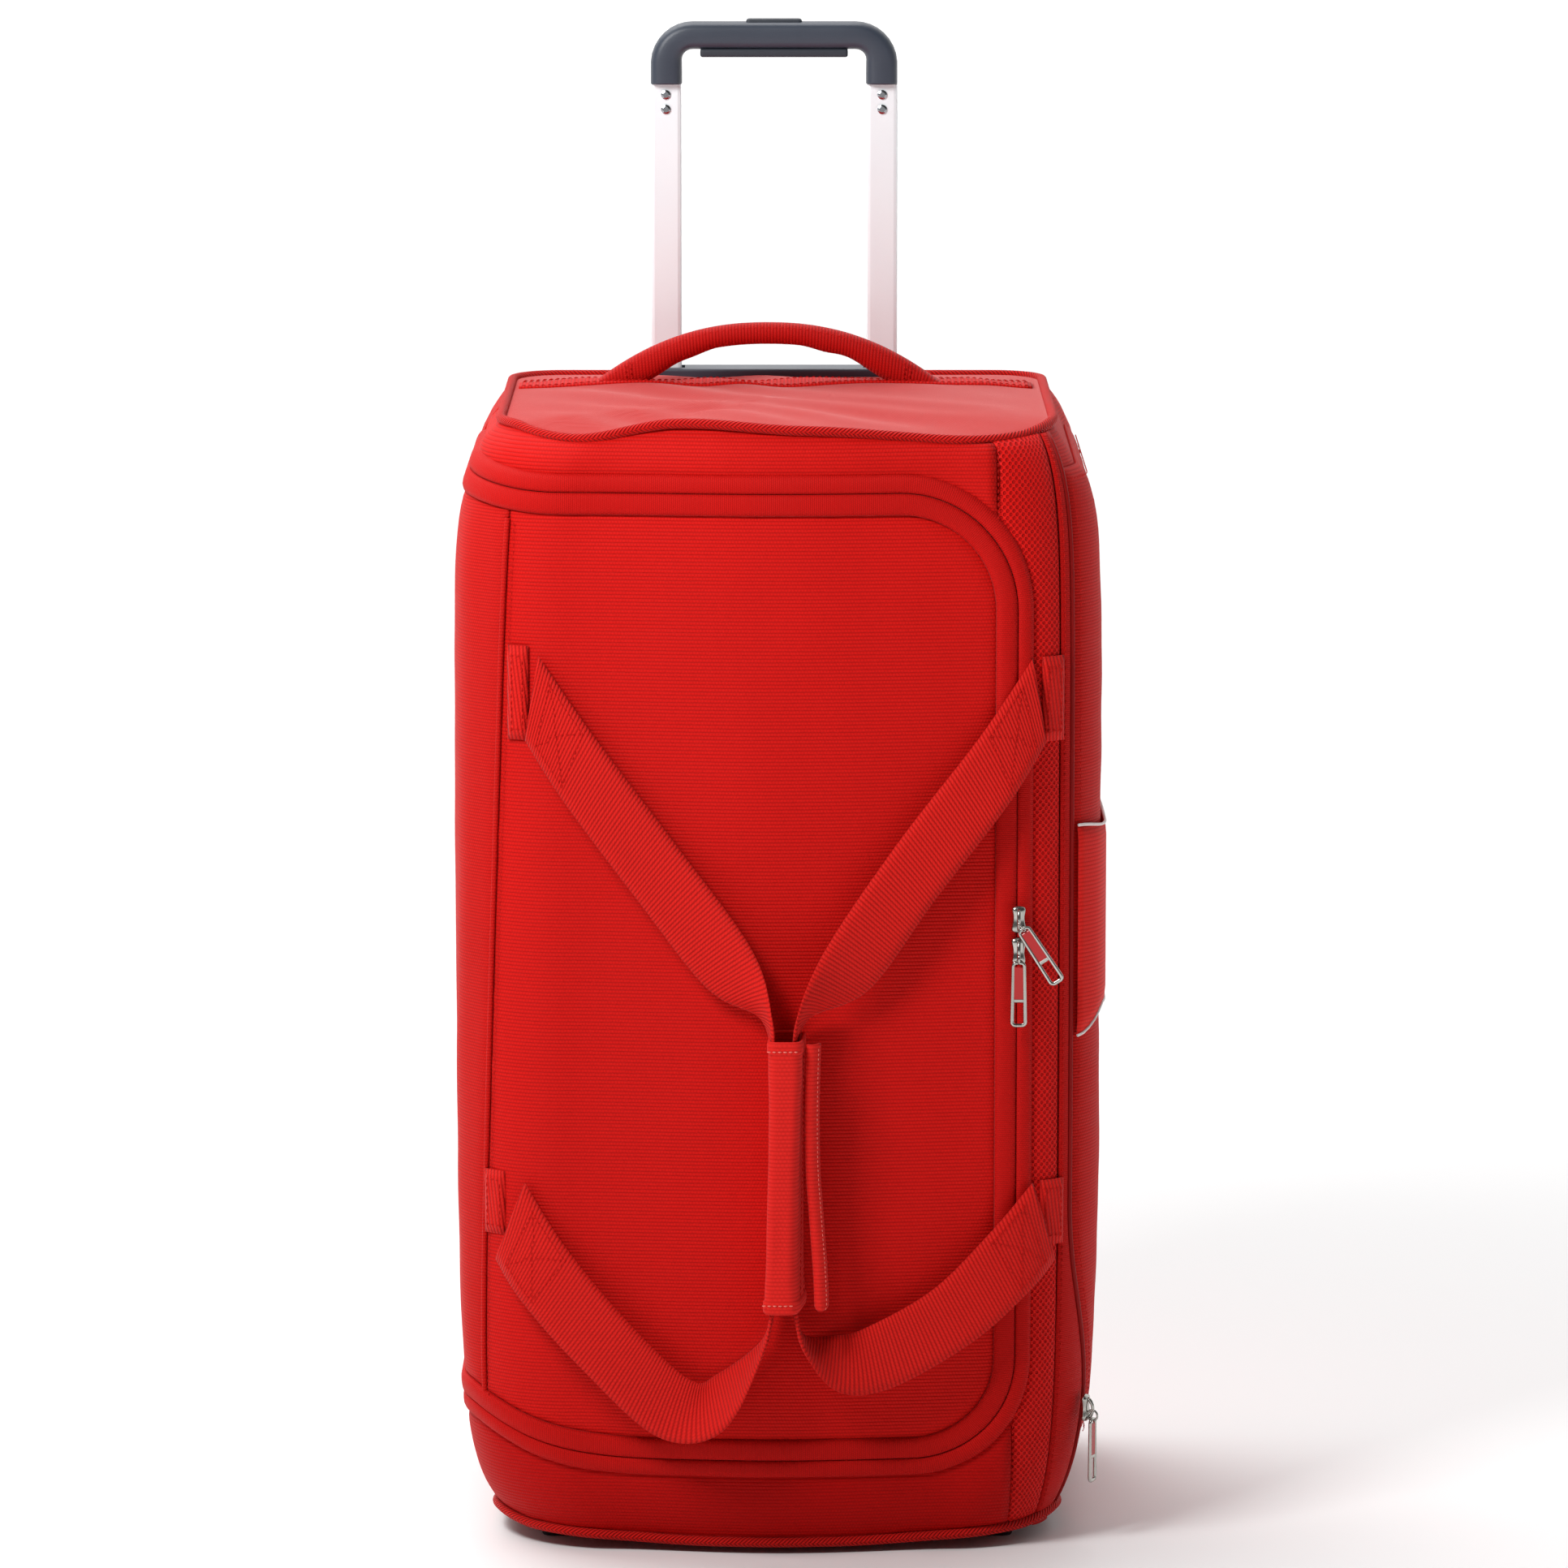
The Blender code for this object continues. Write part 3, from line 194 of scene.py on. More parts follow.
class Paint:
    """A procedural material under construction."""

    def __init__(self, name, roughness, metallic=0.0):
        self.material = bpy.data.materials.new(name)
        self.material.use_nodes = True
        self.tree = self.material.node_tree
        self.shader = self.tree.nodes["Principled BSDF"]
        self.shader.inputs["Metallic"].default_value = metallic
        self.shader.inputs["Roughness"].default_value = roughness

    def node(self, kind, **values):
        made = self.tree.nodes.new(kind)
        for key, value in values.items():
            setattr(made, key, value)
        return made

    def put(self, socket, value):
        if isinstance(value, bpy.types.NodeSocket):
            self.tree.links.new(value, socket)
        else:
            socket.default_value = value

    def math(self, operation, first, second=None):
        made = self.node("ShaderNodeMath", operation=operation)
        self.put(made.inputs[0], first)
        if second is not None:
            self.put(made.inputs[1], second)
        return made.outputs[0]

    def mix(self, share, first, second):
        made = self.node("ShaderNodeMix", data_type="RGBA")
        self.put(made.inputs[0], share)
        self.put(made.inputs[6], first)
        self.put(made.inputs[7], second)
        return made.outputs[2]

    def flat(self):
        """(u, v) in metres on the flat cloth."""
        coordinates = self.node("ShaderNodeTexCoord")
        parts = self.node("ShaderNodeSeparateXYZ")
        self.put(parts.inputs[0], coordinates.outputs["UV"])
        return parts.outputs[0], parts.outputs[1]

    def noise(self, scale, detail=3.0, stretch=None):
        coordinates = self.node("ShaderNodeTexCoord")
        source = coordinates.outputs["Object"]
        if stretch:
            mapping = self.node("ShaderNodeMapping")
            mapping.inputs["Scale"].default_value = stretch
            self.put(mapping.inputs[0], source)
            source = mapping.outputs[0]
        made = self.node("ShaderNodeTexNoise")
        self.put(made.inputs["Vector"], source)
        made.inputs["Scale"].default_value = scale
        made.inputs["Detail"].default_value = detail
        return made.outputs[0]

    def ridges(self, along, pitch, phase=None):
        """Rounded ridges, 0 in the valleys and 1 on the crests, a pitch apart."""
        turns = self.math("MULTIPLY", along, math.pi / pitch)
        if phase is not None:
            turns = self.math("ADD", turns, phase)
        return self.math("ABSOLUTE", self.math("SINE", turns))

    def between(self, value, low, high):
        """Maps 0 to 1 onto low to high."""
        return self.math("ADD", self.math("MULTIPLY", value, high - low), low)

    def bump(self, height, depth, strength=1.0):
        made = self.node("ShaderNodeBump")
        made.inputs["Strength"].default_value = strength
        made.inputs["Distance"].default_value = depth
        self.put(made.inputs["Height"], height)
        self.put(self.shader.inputs["Normal"], made.outputs[0])

    def sheen(self, weight, tint=(1.0, 0.62, 0.60, 1.0), roughness=0.45, gloss=0.08):
        self.shader.inputs["Specular IOR Level"].default_value = gloss
        self.shader.inputs["Sheen Weight"].default_value = weight
        self.shader.inputs["Sheen Roughness"].default_value = roughness
        self.shader.inputs["Sheen Tint"].default_value = tint

    def colour(self, value):
        self.put(self.shader.inputs["Base Color"], value)

    def roughness(self, value):
        self.put(self.shader.inputs["Roughness"], value)


def woven(name, colour, shade, pitch=(0.0019, 0.0022), depth=0.00035, sheen=0.025, roughness=0.62,
          contrast=0.55):
    """Plain weave: rows of short floats, each row shifted by half a float."""
    paint = Paint(name, roughness)
    u, v = paint.flat()
    row = paint.math("FLOOR", paint.math("DIVIDE", v, pitch[1]))
    floats = paint.ridges(u, pitch[0], paint.math("MULTIPLY", row, math.pi / 2))
    height = paint.math("MULTIPLY", paint.ridges(v, pitch[1]), paint.between(floats, 0.55, 1.0))
    cloud = paint.noise(9.0, 4.0)
    share = paint.math("MULTIPLY", paint.between(height, 1.0 - contrast, 1.0),
                       paint.between(cloud, 0.90, 1.10))
    paint.colour(paint.mix(share, shade, colour))
    paint.roughness(paint.between(cloud, roughness - 0.06, roughness + 0.08))
    paint.bump(height, depth)
    paint.sheen(sheen)
    return paint.material


def webbing(name, colour, shade, pitch=0.0024, across=0.0021, depth=0.00045):
    """Heavy webbing: bold ribs across the strap, with fine wales along it."""
    paint = Paint(name, 0.58)
    u, v = paint.flat()
    wale = paint.math("FLOOR", paint.math("DIVIDE", u, across))
    ribs = paint.ridges(v, pitch, paint.math("MULTIPLY", wale, math.pi * 0.12))
    height = paint.math("MULTIPLY", ribs, paint.between(paint.ridges(u, across), 0.80, 1.0))
    cloud = paint.noise(14.0, 3.0)
    share = paint.math("MULTIPLY", paint.between(height, 0.30, 1.0), paint.between(cloud, 0.90, 1.08))
    paint.colour(paint.mix(share, shade, colour))
    paint.roughness(paint.between(cloud, 0.52, 0.66))
    paint.bump(height, depth)
    paint.sheen(0.07)
    return paint.material


def spacer_mesh(name, colour, hole_shade, pitch=(0.0044, 0.0050)):
    """Knitted mesh with a staggered pattern of small openings, each painted darker as the shade inside it."""
    paint = Paint(name, 0.6)
    u, v = paint.flat()
    first = paint.math("MULTIPLY", paint.ridges(u, pitch[0]), paint.ridges(v, pitch[1]))
    second = paint.math("MULTIPLY", paint.ridges(u, pitch[0], math.pi / 2),
                        paint.ridges(v, pitch[1], math.pi / 2))
    ramp = paint.node("ShaderNodeMapRange", interpolation_type="SMOOTHSTEP")
    paint.put(ramp.inputs[0], paint.math("MAXIMUM", first, second))
    ramp.inputs[1].default_value = 0.60
    ramp.inputs[2].default_value = 0.86
    share = ramp.outputs[0]
    paint.colour(paint.mix(share, colour, hole_shade))
    paint.roughness(paint.between(share, 0.55, 0.8))
    paint.bump(paint.math("SUBTRACT", 1.0, share), 0.0009)
    paint.sheen(0.03)
    return paint.material


def corded(name, colour, shade, pitch=0.0026):
    """Herringbone braid over a cord: slanting ribs that meet on its crown. u goes round it, v along it."""
    paint = Paint(name, 0.6)
    u, v = paint.flat()
    slant = paint.math("ABSOLUTE", paint.math("SUBTRACT", u, 0.005))
    ribs = paint.ridges(paint.math("ADD", v, slant), pitch)
    cloud = paint.noise(20.0, 2.0)
    share = paint.math("MULTIPLY", paint.between(ribs, 0.30, 1.0), paint.between(cloud, 0.88, 1.08))
    paint.colour(paint.mix(share, shade, colour))
    paint.roughness(paint.between(cloud, 0.5, 0.66))
    paint.bump(ribs, 0.0009)
    paint.sheen(0.08)
    return paint.material


def moulded(name, colour, wear, roughness, grain=900.0, depth=0.00008):
    """Moulded plastic or rubber with a fine grain and slightly polished high spots."""
    paint = Paint(name, roughness)
    cloud = paint.noise(22.0, 4.0)
    paint.colour(paint.mix(cloud, colour, wear))
    paint.roughness(paint.between(cloud, roughness - 0.08, roughness + 0.10))
    paint.bump(paint.noise(grain, 2.0), depth, 0.6)
    return paint.material


def satin_metal(name, colour, dull, roughness, stretch, metallic=1.0):
    """Drawn, plated or anodised metal, with fine lines along its length."""
    paint = Paint(name, roughness, metallic)
    lines = paint.noise(60.0, 4.0, stretch)
    paint.colour(paint.mix(paint.noise(18.0, 3.0), colour, dull))
    paint.roughness(paint.between(lines, roughness - 0.08, roughness + 0.10))
    paint.bump(lines, 0.00003, 0.4)
    return paint.material


SHADE = srgb(138, 4, 3)
DEEP = srgb(92, 3, 2)
SHELL = woven("shell_cloth", srgb(213, 21, 16), SHADE)
BAND = woven("band_cloth", srgb(211, 21, 16), SHADE, depth=0.0003)
# Painted shade: the lower band is the upper band's cloth coloured darker, because the foot of the front is in
# shade.
SHADED_FOOT_BAND = woven("foot_band_shaded_cloth", srgb(190, 10, 7), SHADE, depth=0.0003)
SIDE = woven("side_cloth", srgb(204, 23, 18), SHADE, pitch=(0.0019, 0.0019), depth=0.0003)
TAPE = woven("zip_tape_cloth", srgb(200, 17, 13), SHADE, pitch=(0.0012, 0.0012), depth=0.0002, sheen=0.05)
TOP = woven("top_cloth", srgb(197, 20, 16), SHADE, pitch=(0.0018, 0.0019), depth=0.00025, sheen=0.42,
            contrast=0.45)
WEB = webbing("strap_webbing_look", srgb(222, 32, 26), srgb(142, 7, 5))
WRAP = woven("wrap_cloth", srgb(228, 38, 32), SHADE, pitch=(0.0013, 0.0024), depth=0.0002, sheen=0.08,
             contrast=0.45)
HANDLE = woven("handle_cloth", srgb(202, 22, 18), srgb(120, 6, 5), pitch=(0.0016, 0.0020), sheen=0.10)
# The second colour is painted shade inside the mesh's openings.
MESH = spacer_mesh("mesh_cloth", srgb(222, 22, 17), srgb(176, 10, 8), pitch=(0.0038, 0.0042))
CORD = corded("piping_braid", srgb(214, 22, 17), srgb(128, 4, 3))
BASE = woven("base_cloth", srgb(166, 9, 7), DEEP, pitch=(0.0030, 0.0024), sheen=0.05)
LINING = woven("lining_cloth", srgb(126, 128, 134), srgb(84, 86, 92), pitch=(0.0013, 0.0013), sheen=0.1)
BOARD = moulded("board_plastic", srgb(60, 61, 64), srgb(70, 71, 74), 0.55)
THREAD = woven("thread_red", srgb(208, 26, 20), SHADE, pitch=(0.0006, 0.0006), depth=0.0001)
THREAD_PALE = woven("thread_pale", srgb(246, 140, 128), srgb(220, 70, 60), pitch=(0.0006, 0.0006),
                    depth=0.0001)
CORD_WHITE = woven("cord_white", srgb(246, 240, 238), srgb(214, 190, 186), pitch=(0.0008, 0.0008),
                   depth=0.0001)
COIL = moulded("coil_nylon", srgb(132, 5, 4), srgb(154, 8, 6), 0.55, 600.0)
COIL.node_tree.nodes["Principled BSDF"].inputs["Specular IOR Level"].default_value = 0.15
SLATE = moulded("slate_plastic", srgb(52, 58, 70), srgb(60, 67, 80), 0.42)
SOFT_GREY = moulded("soft_insert", srgb(38, 42, 51), srgb(46, 51, 60), 0.6)
BLACK = moulded("black_plastic", srgb(28, 28, 30), srgb(38, 38, 41), 0.45)
TYRE = moulded("tyre_rubber_look", srgb(22, 22, 23), srgb(34, 34, 35), 0.72, 500.0, 0.00015)
ALUMINIUM = satin_metal("tube_aluminium_look", srgb(250, 253, 255), srgb(243, 249, 253), 0.45,
                        (6.0, 6.0, 0.15), 0.15)
STEEL = satin_metal("steel_look", srgb(176, 178, 182), srgb(150, 153, 158), 0.24, (1.0, 1.0, 1.0))
CHROME = satin_metal("zip_nickel", srgb(196, 194, 188), srgb(140, 138, 132), 0.22, (1.0, 1.0, 1.0))
ENAMEL = moulded("red_enamel", srgb(190, 12, 14), srgb(170, 9, 11), 0.22, 200.0, 0.00002)


# Meshes


def bake(obj):
    """Turns the object's modifiers into its mesh."""
    graph = bpy.context.evaluated_depsgraph_get()
    old = obj.data
    mesh = bpy.data.meshes.new_from_object(obj.evaluated_get(graph))
    obj.modifiers.clear()
    obj.data = mesh
    bpy.data.meshes.remove(old)
    mesh.name = obj.name
    return obj


def link(name, mesh, *materials):
    for material in materials:
        mesh.materials.append(material)
    obj = bpy.data.objects.new(name, mesh)
    bpy.context.scene.collection.objects.link(obj)
    mesh.shade_smooth()
    return obj


def thicken(obj, thickness):
    solid = obj.modifiers.new("thickness", "SOLIDIFY")
    solid.thickness = thickness
    solid.offset = -1
    solid.use_even_offset = False
    solid.material_offset = 1
    return bake(obj)


def skin(name, rows, flat, material, thickness=0.0, lining=None, closed=False, flip=False):
    """A surface from rows of points, each with its place on the flat cloth.
    A closed one joins its last column to its first, and its flat rows have one place more."""
    mesh = bpy.data.meshes.new(name)
    count = len(rows[0])
    faces = []
    corners = []
    for r in range(len(rows) - 1):
        for c in range(count if closed else count - 1):
            n = (c + 1) % count
            face = [r * count + c, r * count + n, (r + 1) * count + n, (r + 1) * count + c]
            corner = [flat[r][c], flat[r][c + 1], flat[r + 1][c + 1], flat[r + 1][c]]
            faces.append(face[::-1] if flip else face)
            corners += corner[::-1] if flip else corner
    mesh.from_pydata([point for row in rows for point in row], [], faces)
    layer = mesh.uv_layers.new(name="cloth")
    for item, corner in zip(layer.data, corners):
        item.uv = corner
    obj = link(name, mesh, material, lining or material)
    return thicken(obj, thickness) if thickness else obj


def tidy(obj, weld=1e-7, fill=False):
    """Welds a mesh's seams, closes its open ends and turns its faces outwards."""
    bm = bmesh.new()
    bm.from_mesh(obj.data)
    bmesh.ops.remove_doubles(bm, verts=bm.verts, dist=weld)
    if fill:
        bmesh.ops.holes_fill(bm, edges=[edge for edge in bm.edges if edge.is_boundary], sides=0)
    bmesh.ops.recalc_face_normals(bm, faces=bm.faces)
    bm.to_mesh(obj.data)
    bm.free()
    obj.data.shade_smooth()
    return obj


def cut_box(obj, low, high):
    """Removes what lies inside a box, with clean edges."""
    bm = bmesh.new()
    bm.from_mesh(obj.data)
    for axis in range(3):
        for corner in (low, high):
            normal = Vector((0, 0, 0))
            normal[axis] = 1
            place = Vector((0, 0, 0))
            place[axis] = corner[axis]
            everything = bm.verts[:] + bm.edges[:] + bm.faces[:]
            bmesh.ops.bisect_plane(bm, geom=everything, plane_co=place, plane_no=normal)
    inside = []
    for face in bm.faces:
        centre = face.calc_center_median()
        if all(low[i] < centre[i] < high[i] for i in range(3)):
            inside.append(face)
    bmesh.ops.delete(bm, geom=inside, context="FACES")
    bm.to_mesh(obj.data)
    bm.free()
    return obj


def flat_size(mesh):
    """(width, length, area) of the cloth that a mesh's UV map lays out flat, on its first material."""
    layer = mesh.uv_layers[0].data
    us = [item.uv[0] for item in layer]
    vs = [item.uv[1] for item in layer]
    area = 0.0
    for face in mesh.polygons:
        if face.material_index != 0:
            continue
        ring = [layer[i].uv.copy() for i in face.loop_indices]
        area += abs(sum(a[0] * b[1] - b[0] * a[1] for a, b in zip(ring, ring[1:] + ring[:1]))) / 2
    return max(us) - min(us), max(vs) - min(vs), area


def settle(obj, body, slot, *nodes, held=None, rests_on=(), size=None):
    if body == "flap_side":
        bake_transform(obj)
    elif body:
        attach(obj, body)
    if nodes:
        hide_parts(*nodes)
    if held:
        width, length, area = size or flat_size(obj.data)
        area = min(area, width * length)
    return obj


def tube(name, path, radius, material, closed=False, sides=12, squeeze=1.0, up=(0, 0, 1)):
    """A round cord along points, with u round it and v along it. squeeze flattens it against up."""
    last = len(path) - 1
    rings = []
    flat = []
    travelled = 0.0
    for i, point in enumerate(path):
        before = path[i - 1] if closed or i else point
        after = path[(i + 1) % len(path)] if closed or i < last else point
        along = (after - before).normalized()
        across = along.cross(Vector(up)).normalized()
        lift = across.cross(along).normalized()
        if i:
            travelled += (point - path[i - 1]).length
        size = radius(i / last) if callable(radius) else radius
        ring = []
        for k in range(sides):
            angle = 2 * math.pi * k / sides
            ring.append(point + across * size * math.cos(angle) + lift * size * squeeze * math.sin(angle))
        rings.append(ring)
        flat.append([(2 * math.pi * size * k / sides, travelled) for k in range(sides + 1)])
    if closed:
        travelled += (path[0] - path[-1]).length
        rings.append(rings[0])
        flat.append([(u, travelled) for u, _ in flat[0]])
    obj = skin(name, rings, flat, material, closed=True)
    return tidy(obj, fill=not closed)


def rounded_box(name, low, high, radius, material):
    """A moulded block with rounded edges."""
    bm = bmesh.new()
    bmesh.ops.create_cube(bm, size=1.0)
    size = [high[i] - low[i] for i in range(3)]
    middle = [(high[i] + low[i]) / 2 for i in range(3)]
    for vert in bm.verts:
        vert.co = Vector([vert.co[i] * size[i] + middle[i] for i in range(3)])
    bmesh.ops.bevel(bm, geom=bm.edges[:] + bm.verts[:], offset=radius, segments=4, profile=0.6,
                    affect="EDGES")
    mesh = bpy.data.meshes.new(name)
    bm.to_mesh(mesh)
    bm.free()
    layer = mesh.uv_layers.new(name="cloth")
    for item, loop in zip(layer.data, mesh.loops):
        place = mesh.vertices[loop.vertex_index].co
        item.uv = (place.x + place.y, place.z)
    return link(name, mesh, material)


def join(name, parts):
    """One object from several."""
    for obj in bpy.context.view_layer.objects:
        obj.select_set(obj in parts)
    bpy.context.view_layer.objects.active = parts[0]
    bpy.ops.object.join()
    parts[0].name = name
    parts[0].data.name = name
    return parts[0]


def stitches(name, lines, material, length=0.0026, gap=0.0014, radius=0.00038, turned=False):
    """Short raised threads along lines of (point, outward direction). Turned ones lie across the line."""
    verts = []
    faces = []
    sides = 5
    for line in lines:
        ahead = 0.0
        for (start, out_a), (end, out_b) in zip(line, line[1:]):
            step = (end - start).length
            if step < 1e-9:
                continue
            along = (end - start) / step
            while ahead < step:
                middle = start.lerp(end, ahead / step)
                out = out_a.lerp(out_b, ahead / step).normalized()
                side = along.cross(out).normalized()
                lie, wide = (side, along) if turned else (along, side)
                base = len(verts)
                for place, size, lift in ((-0.5, 0.45, -0.2), (0.0, 1.0, 0.55), (0.5, 0.45, -0.2)):
                    centre = middle + lie * length * place + out * radius * lift
                    for k in range(sides):
                        angle = 2 * math.pi * k / sides
                        verts.append(centre
                                     + (wide * math.cos(angle) + out * math.sin(angle)) * radius * size)
                for ring in (0, sides):
                    for k in range(sides):
                        n = (k + 1) % sides
                        near = base + ring
                        faces.append((near + k, near + n, near + sides + n, near + sides + k))
                faces.append(tuple(base + k for k in reversed(range(sides))))
                faces.append(tuple(base + 2 * sides + k for k in range(sides)))
                ahead += gap + (2 * radius if turned else length)
            ahead -= step
    mesh = bpy.data.meshes.new(name)
    mesh.from_pydata(verts, [], faces)
    layer = mesh.uv_layers.new(name="cloth")
    for item, loop in zip(layer.data, mesh.loops):
        place = mesh.vertices[loop.vertex_index].co
        item.uv = (place.x + place.y, place.z)
    return tidy(link(name, mesh, material), weld=1e-9)


# The shell's surface


def pinch(z):
    """How far the wall is drawn in at this height, because the two ends are smaller than the belly."""
    top = TOP_PINCH * math.exp(-max(TOP_Z - z, 0.0) / TOP_PINCH_REACH)
    bottom = BOTTOM_PINCH * math.exp(-max(z - BOTTOM_Z, 0.0) / BOTTOM_PINCH_REACH)
    return top + bottom


def outline(s, z):
    """(x, y, outward x, outward y) of the wall at this place, seen from above."""
    drawn = pinch(z)
    half = HALF_WIDTH - drawn
    front = FRONT_Y + FRONT_PINCH_SHARE * drawn
    reach = half - FRONT_RADIUS
    s = (s + BACK_MIDDLE) % (2 * BACK_MIDDLE) - BACK_MIDDLE
    sign = -1 if s < 0 else 1
    a = abs(s)
    if GATHER_START < a <= SIDE_START:
        a = GATHER_START + ((a - GATHER_START) * (SIDE_START - drawn - GATHER_START)
                            / (SIDE_START - GATHER_START))
    if a <= reach:
        share = a / reach
        y = front - FRONT_BOW * (1 - share * share) ** 2
        slope = 4 * FRONT_BOW * share * (1 - share * share) / reach
        size = math.hypot(slope, 1)
        return sign * a, y, sign * slope / size, -1 / size
    if abs(s) <= SIDE_START:
        turn = (a - reach) / FRONT_RADIUS
        x = reach + FRONT_RADIUS * math.sin(turn)
        y = front + FRONT_RADIUS - FRONT_RADIUS * math.cos(turn)
        return sign * x, y, sign * math.sin(turn), -math.cos(turn)
    if a <= SIDE_END:
        share = (a - SIDE_START) / (SIDE_END - SIDE_START)
        y = front + FRONT_RADIUS + share * (BACK_Y - REAR_RADIUS - front - FRONT_RADIUS)
        return sign * half, y, float(sign), 0.0
    if a <= BACK_START:
        turn = (a - SIDE_END) / REAR_RADIUS
        x = half - REAR_RADIUS + REAR_RADIUS * math.cos(turn)
        y = BACK_Y - REAR_RADIUS + REAR_RADIUS * math.sin(turn)
        return sign * x, y, sign * math.cos(turn), math.sin(turn)
    share = (a - BACK_START) / (BACK_MIDDLE - BACK_START)
    return sign * (half - REAR_RADIUS) * (1 - share), BACK_Y, 0.0, 1.0


def wall(s, z, out=0.0):
    x, y, out_x, out_y = outline(s, z)
    return Vector((x + out_x * out, y + out_y * out, z))


def facing(s, z):
    """The outward direction of the wall, tilted where it leans in towards the ends."""
    _, _, out_x, out_y = outline(s, z)
    lean = (pinch(z + 0.001) - pinch(z - 0.001)) / 0.002
    return Vector((out_x, out_y, lean)).normalized()


def on_wall(line, out):
    """A line of (s, z) as points and outward directions, for stitches."""
    return [(wall(s, z, out), facing(s, z)) for s, z in line]


RIM_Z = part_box("upper_front_band")[1].z - 0.0017
RIM_WAVES = ((-0.05, 0.07, 0.004), (-0.12, 0.06, -0.006), (0.12, 0.11, -0.007))  # place, reach and height


def rim_z(s):
    """The height of the shell's top edge, which waves along the front."""
    return RIM_Z + sum(height * ease_bell(s, place, reach) for place, reach, height in RIM_WAVES)


def foot_z(s):
    """The height of the shell's bottom edge, which sags in front and is drawn up round the corners."""
    a = abs(s)
    return BOTTOM_Z + 0.0015 - FOOT_SAG * smoothstep(0.175, 0.04, a) + FOOT_LIFT * ease_bell(a, 0.215, 0.065)


def heights(low, high, count):
    """Values from low to high, closer together at both ends."""
    inner = count - 2 * len(HEM)
    span = high - low
    hem = [h * min(1.0, span / 0.03) for h in HEM]
    first, final = low + hem[-1] * 1.4, high - hem[-1] * 1.4
    middle = [first + (final - first) * i / (inner - 1) for i in range(inner)]
    return [low + h for h in hem] + middle + [high - h for h in reversed(hem)]


def panel(name, s_values, z_span, out, material, move=None, rows=40, thickness=CLOTH, lining=LINING, cuts=()):
    """Cloth between two heights that may vary along it. z_span(s) gives the heights, out(s, z) how far it
    stands out, and move(s, z) slides its places sideways, so that a side can slant."""
    columns = []
    for s in s_values:
        low, high = z_span(s)
        if move:
            for _ in range(6):
                low, high = z_span(move(s, low))[0], z_span(move(s, high))[1]
        columns.append([(move(s, z) if move else s, z) for z in heights(low, high, rows)])
    flat = [[column[r] for column in columns] for r in range(rows)]
    points = [[wall(s, z, out(s, z)) for s, z in line] for line in flat]
    obj = skin(name, points, flat, material, 0.0, lining)
    for low, high in cuts:
        cut_box(obj, low, high)
    return thicken(obj, thickness)


def ribbon(name, line, profile, material, thickness=0.0012, lining=None):
    """A strip along a line of (s, z, sideways s, sideways z), with a profile of (sideways, out)."""
    points = []
    flat = []
    travelled = 0.0
    for i, (s, z, side_s, side_z) in enumerate(line):
        if i:
            travelled += math.hypot(s - line[i - 1][0], z - line[i - 1][1])
        points.append([wall(s + side_s * d, z + side_z * d, out) for d, out in profile])
        flat.append([(d, travelled) for d, _ in profile])
    return skin(name, points, flat, material, thickness, lining)


# The main zip's U


def rise(s):
    """How far the zip's lower run has climbed at this place, on its way to the left side."""
    t = min(max((-s - 0.065) / 0.145, 0.0), 1.0) ** 1.5
    return 0.0275 * t * t * (3 - 2 * t)


def climb(s):
    """How far the zip's upper run has risen on its way over the left corner."""
    return 0.0085 * smoothstep(-0.130, -0.240, s)


CORNER = (ZIP_RIGHT - ZIP_TOP_RADIUS, ZIP_TOP - ZIP_TOP_RADIUS)
HEEL = (ZIP_RIGHT - ZIP_BOTTOM_RADIUS, ZIP_BOTTOM + ZIP_BOTTOM_RADIUS)


def zip_line(step=0.005, turn_step=5):
    """The U of the zip from the hinge over the top, down the right and back along the bottom,
    as (s, z, outward s, outward z)."""
    line = [(s, ZIP_TOP + climb(s), 0.0, 1.0) for s in spread(HINGE_S, CORNER[0], step)]
    for angle in range(90 - turn_step, 0, -turn_step):
        c, w = math.cos(math.radians(angle)), math.sin(math.radians(angle))
        line.append((CORNER[0] + ZIP_TOP_RADIUS * c, CORNER[1] + ZIP_TOP_RADIUS * w, c, w))
    line += [(ZIP_RIGHT, z, 1.0, 0.0) for z in spread(CORNER[1], HEEL[1], step)]
    for angle in range(turn_step, 90, turn_step):
        c, w = math.cos(math.radians(angle)), math.sin(math.radians(angle))
        line.append((HEEL[0] + ZIP_BOTTOM_RADIUS * c, HEEL[1] - ZIP_BOTTOM_RADIUS * w, c, -w))
    for s in spread(HEEL[0], HINGE_S, step):
        line.append((s, ZIP_BOTTOM + rise(s), 0.0, -1.0))
    return line


def top_of_u(s, offset):
    """Height of the U's upper run at this place, moved out by offset."""
    if s <= CORNER[0]:
        return ZIP_TOP + climb(s) + offset
    return CORNER[1] + math.sqrt(max((ZIP_TOP_RADIUS + offset) ** 2 - (s - CORNER[0]) ** 2, 0.0))


def bottom_of_u(s, offset):
    if s <= HEEL[0]:
        return ZIP_BOTTOM + rise(s) - offset
    return HEEL[1] - math.sqrt(max((ZIP_BOTTOM_RADIUS + offset) ** 2 - (s - HEEL[0]) ** 2, 0.0))


def right_of_u(z, offset):
    """How far right the U reaches at this height."""
    if z > CORNER[1]:
        return CORNER[0] + math.sqrt(max((ZIP_TOP_RADIUS + offset) ** 2 - (z - CORNER[1]) ** 2, 0.0))
    if z < HEEL[1]:
        return HEEL[0] + math.sqrt(max((ZIP_BOTTOM_RADIUS + offset) ** 2 - (z - HEEL[1]) ** 2, 0.0))
    return ZIP_RIGHT + offset


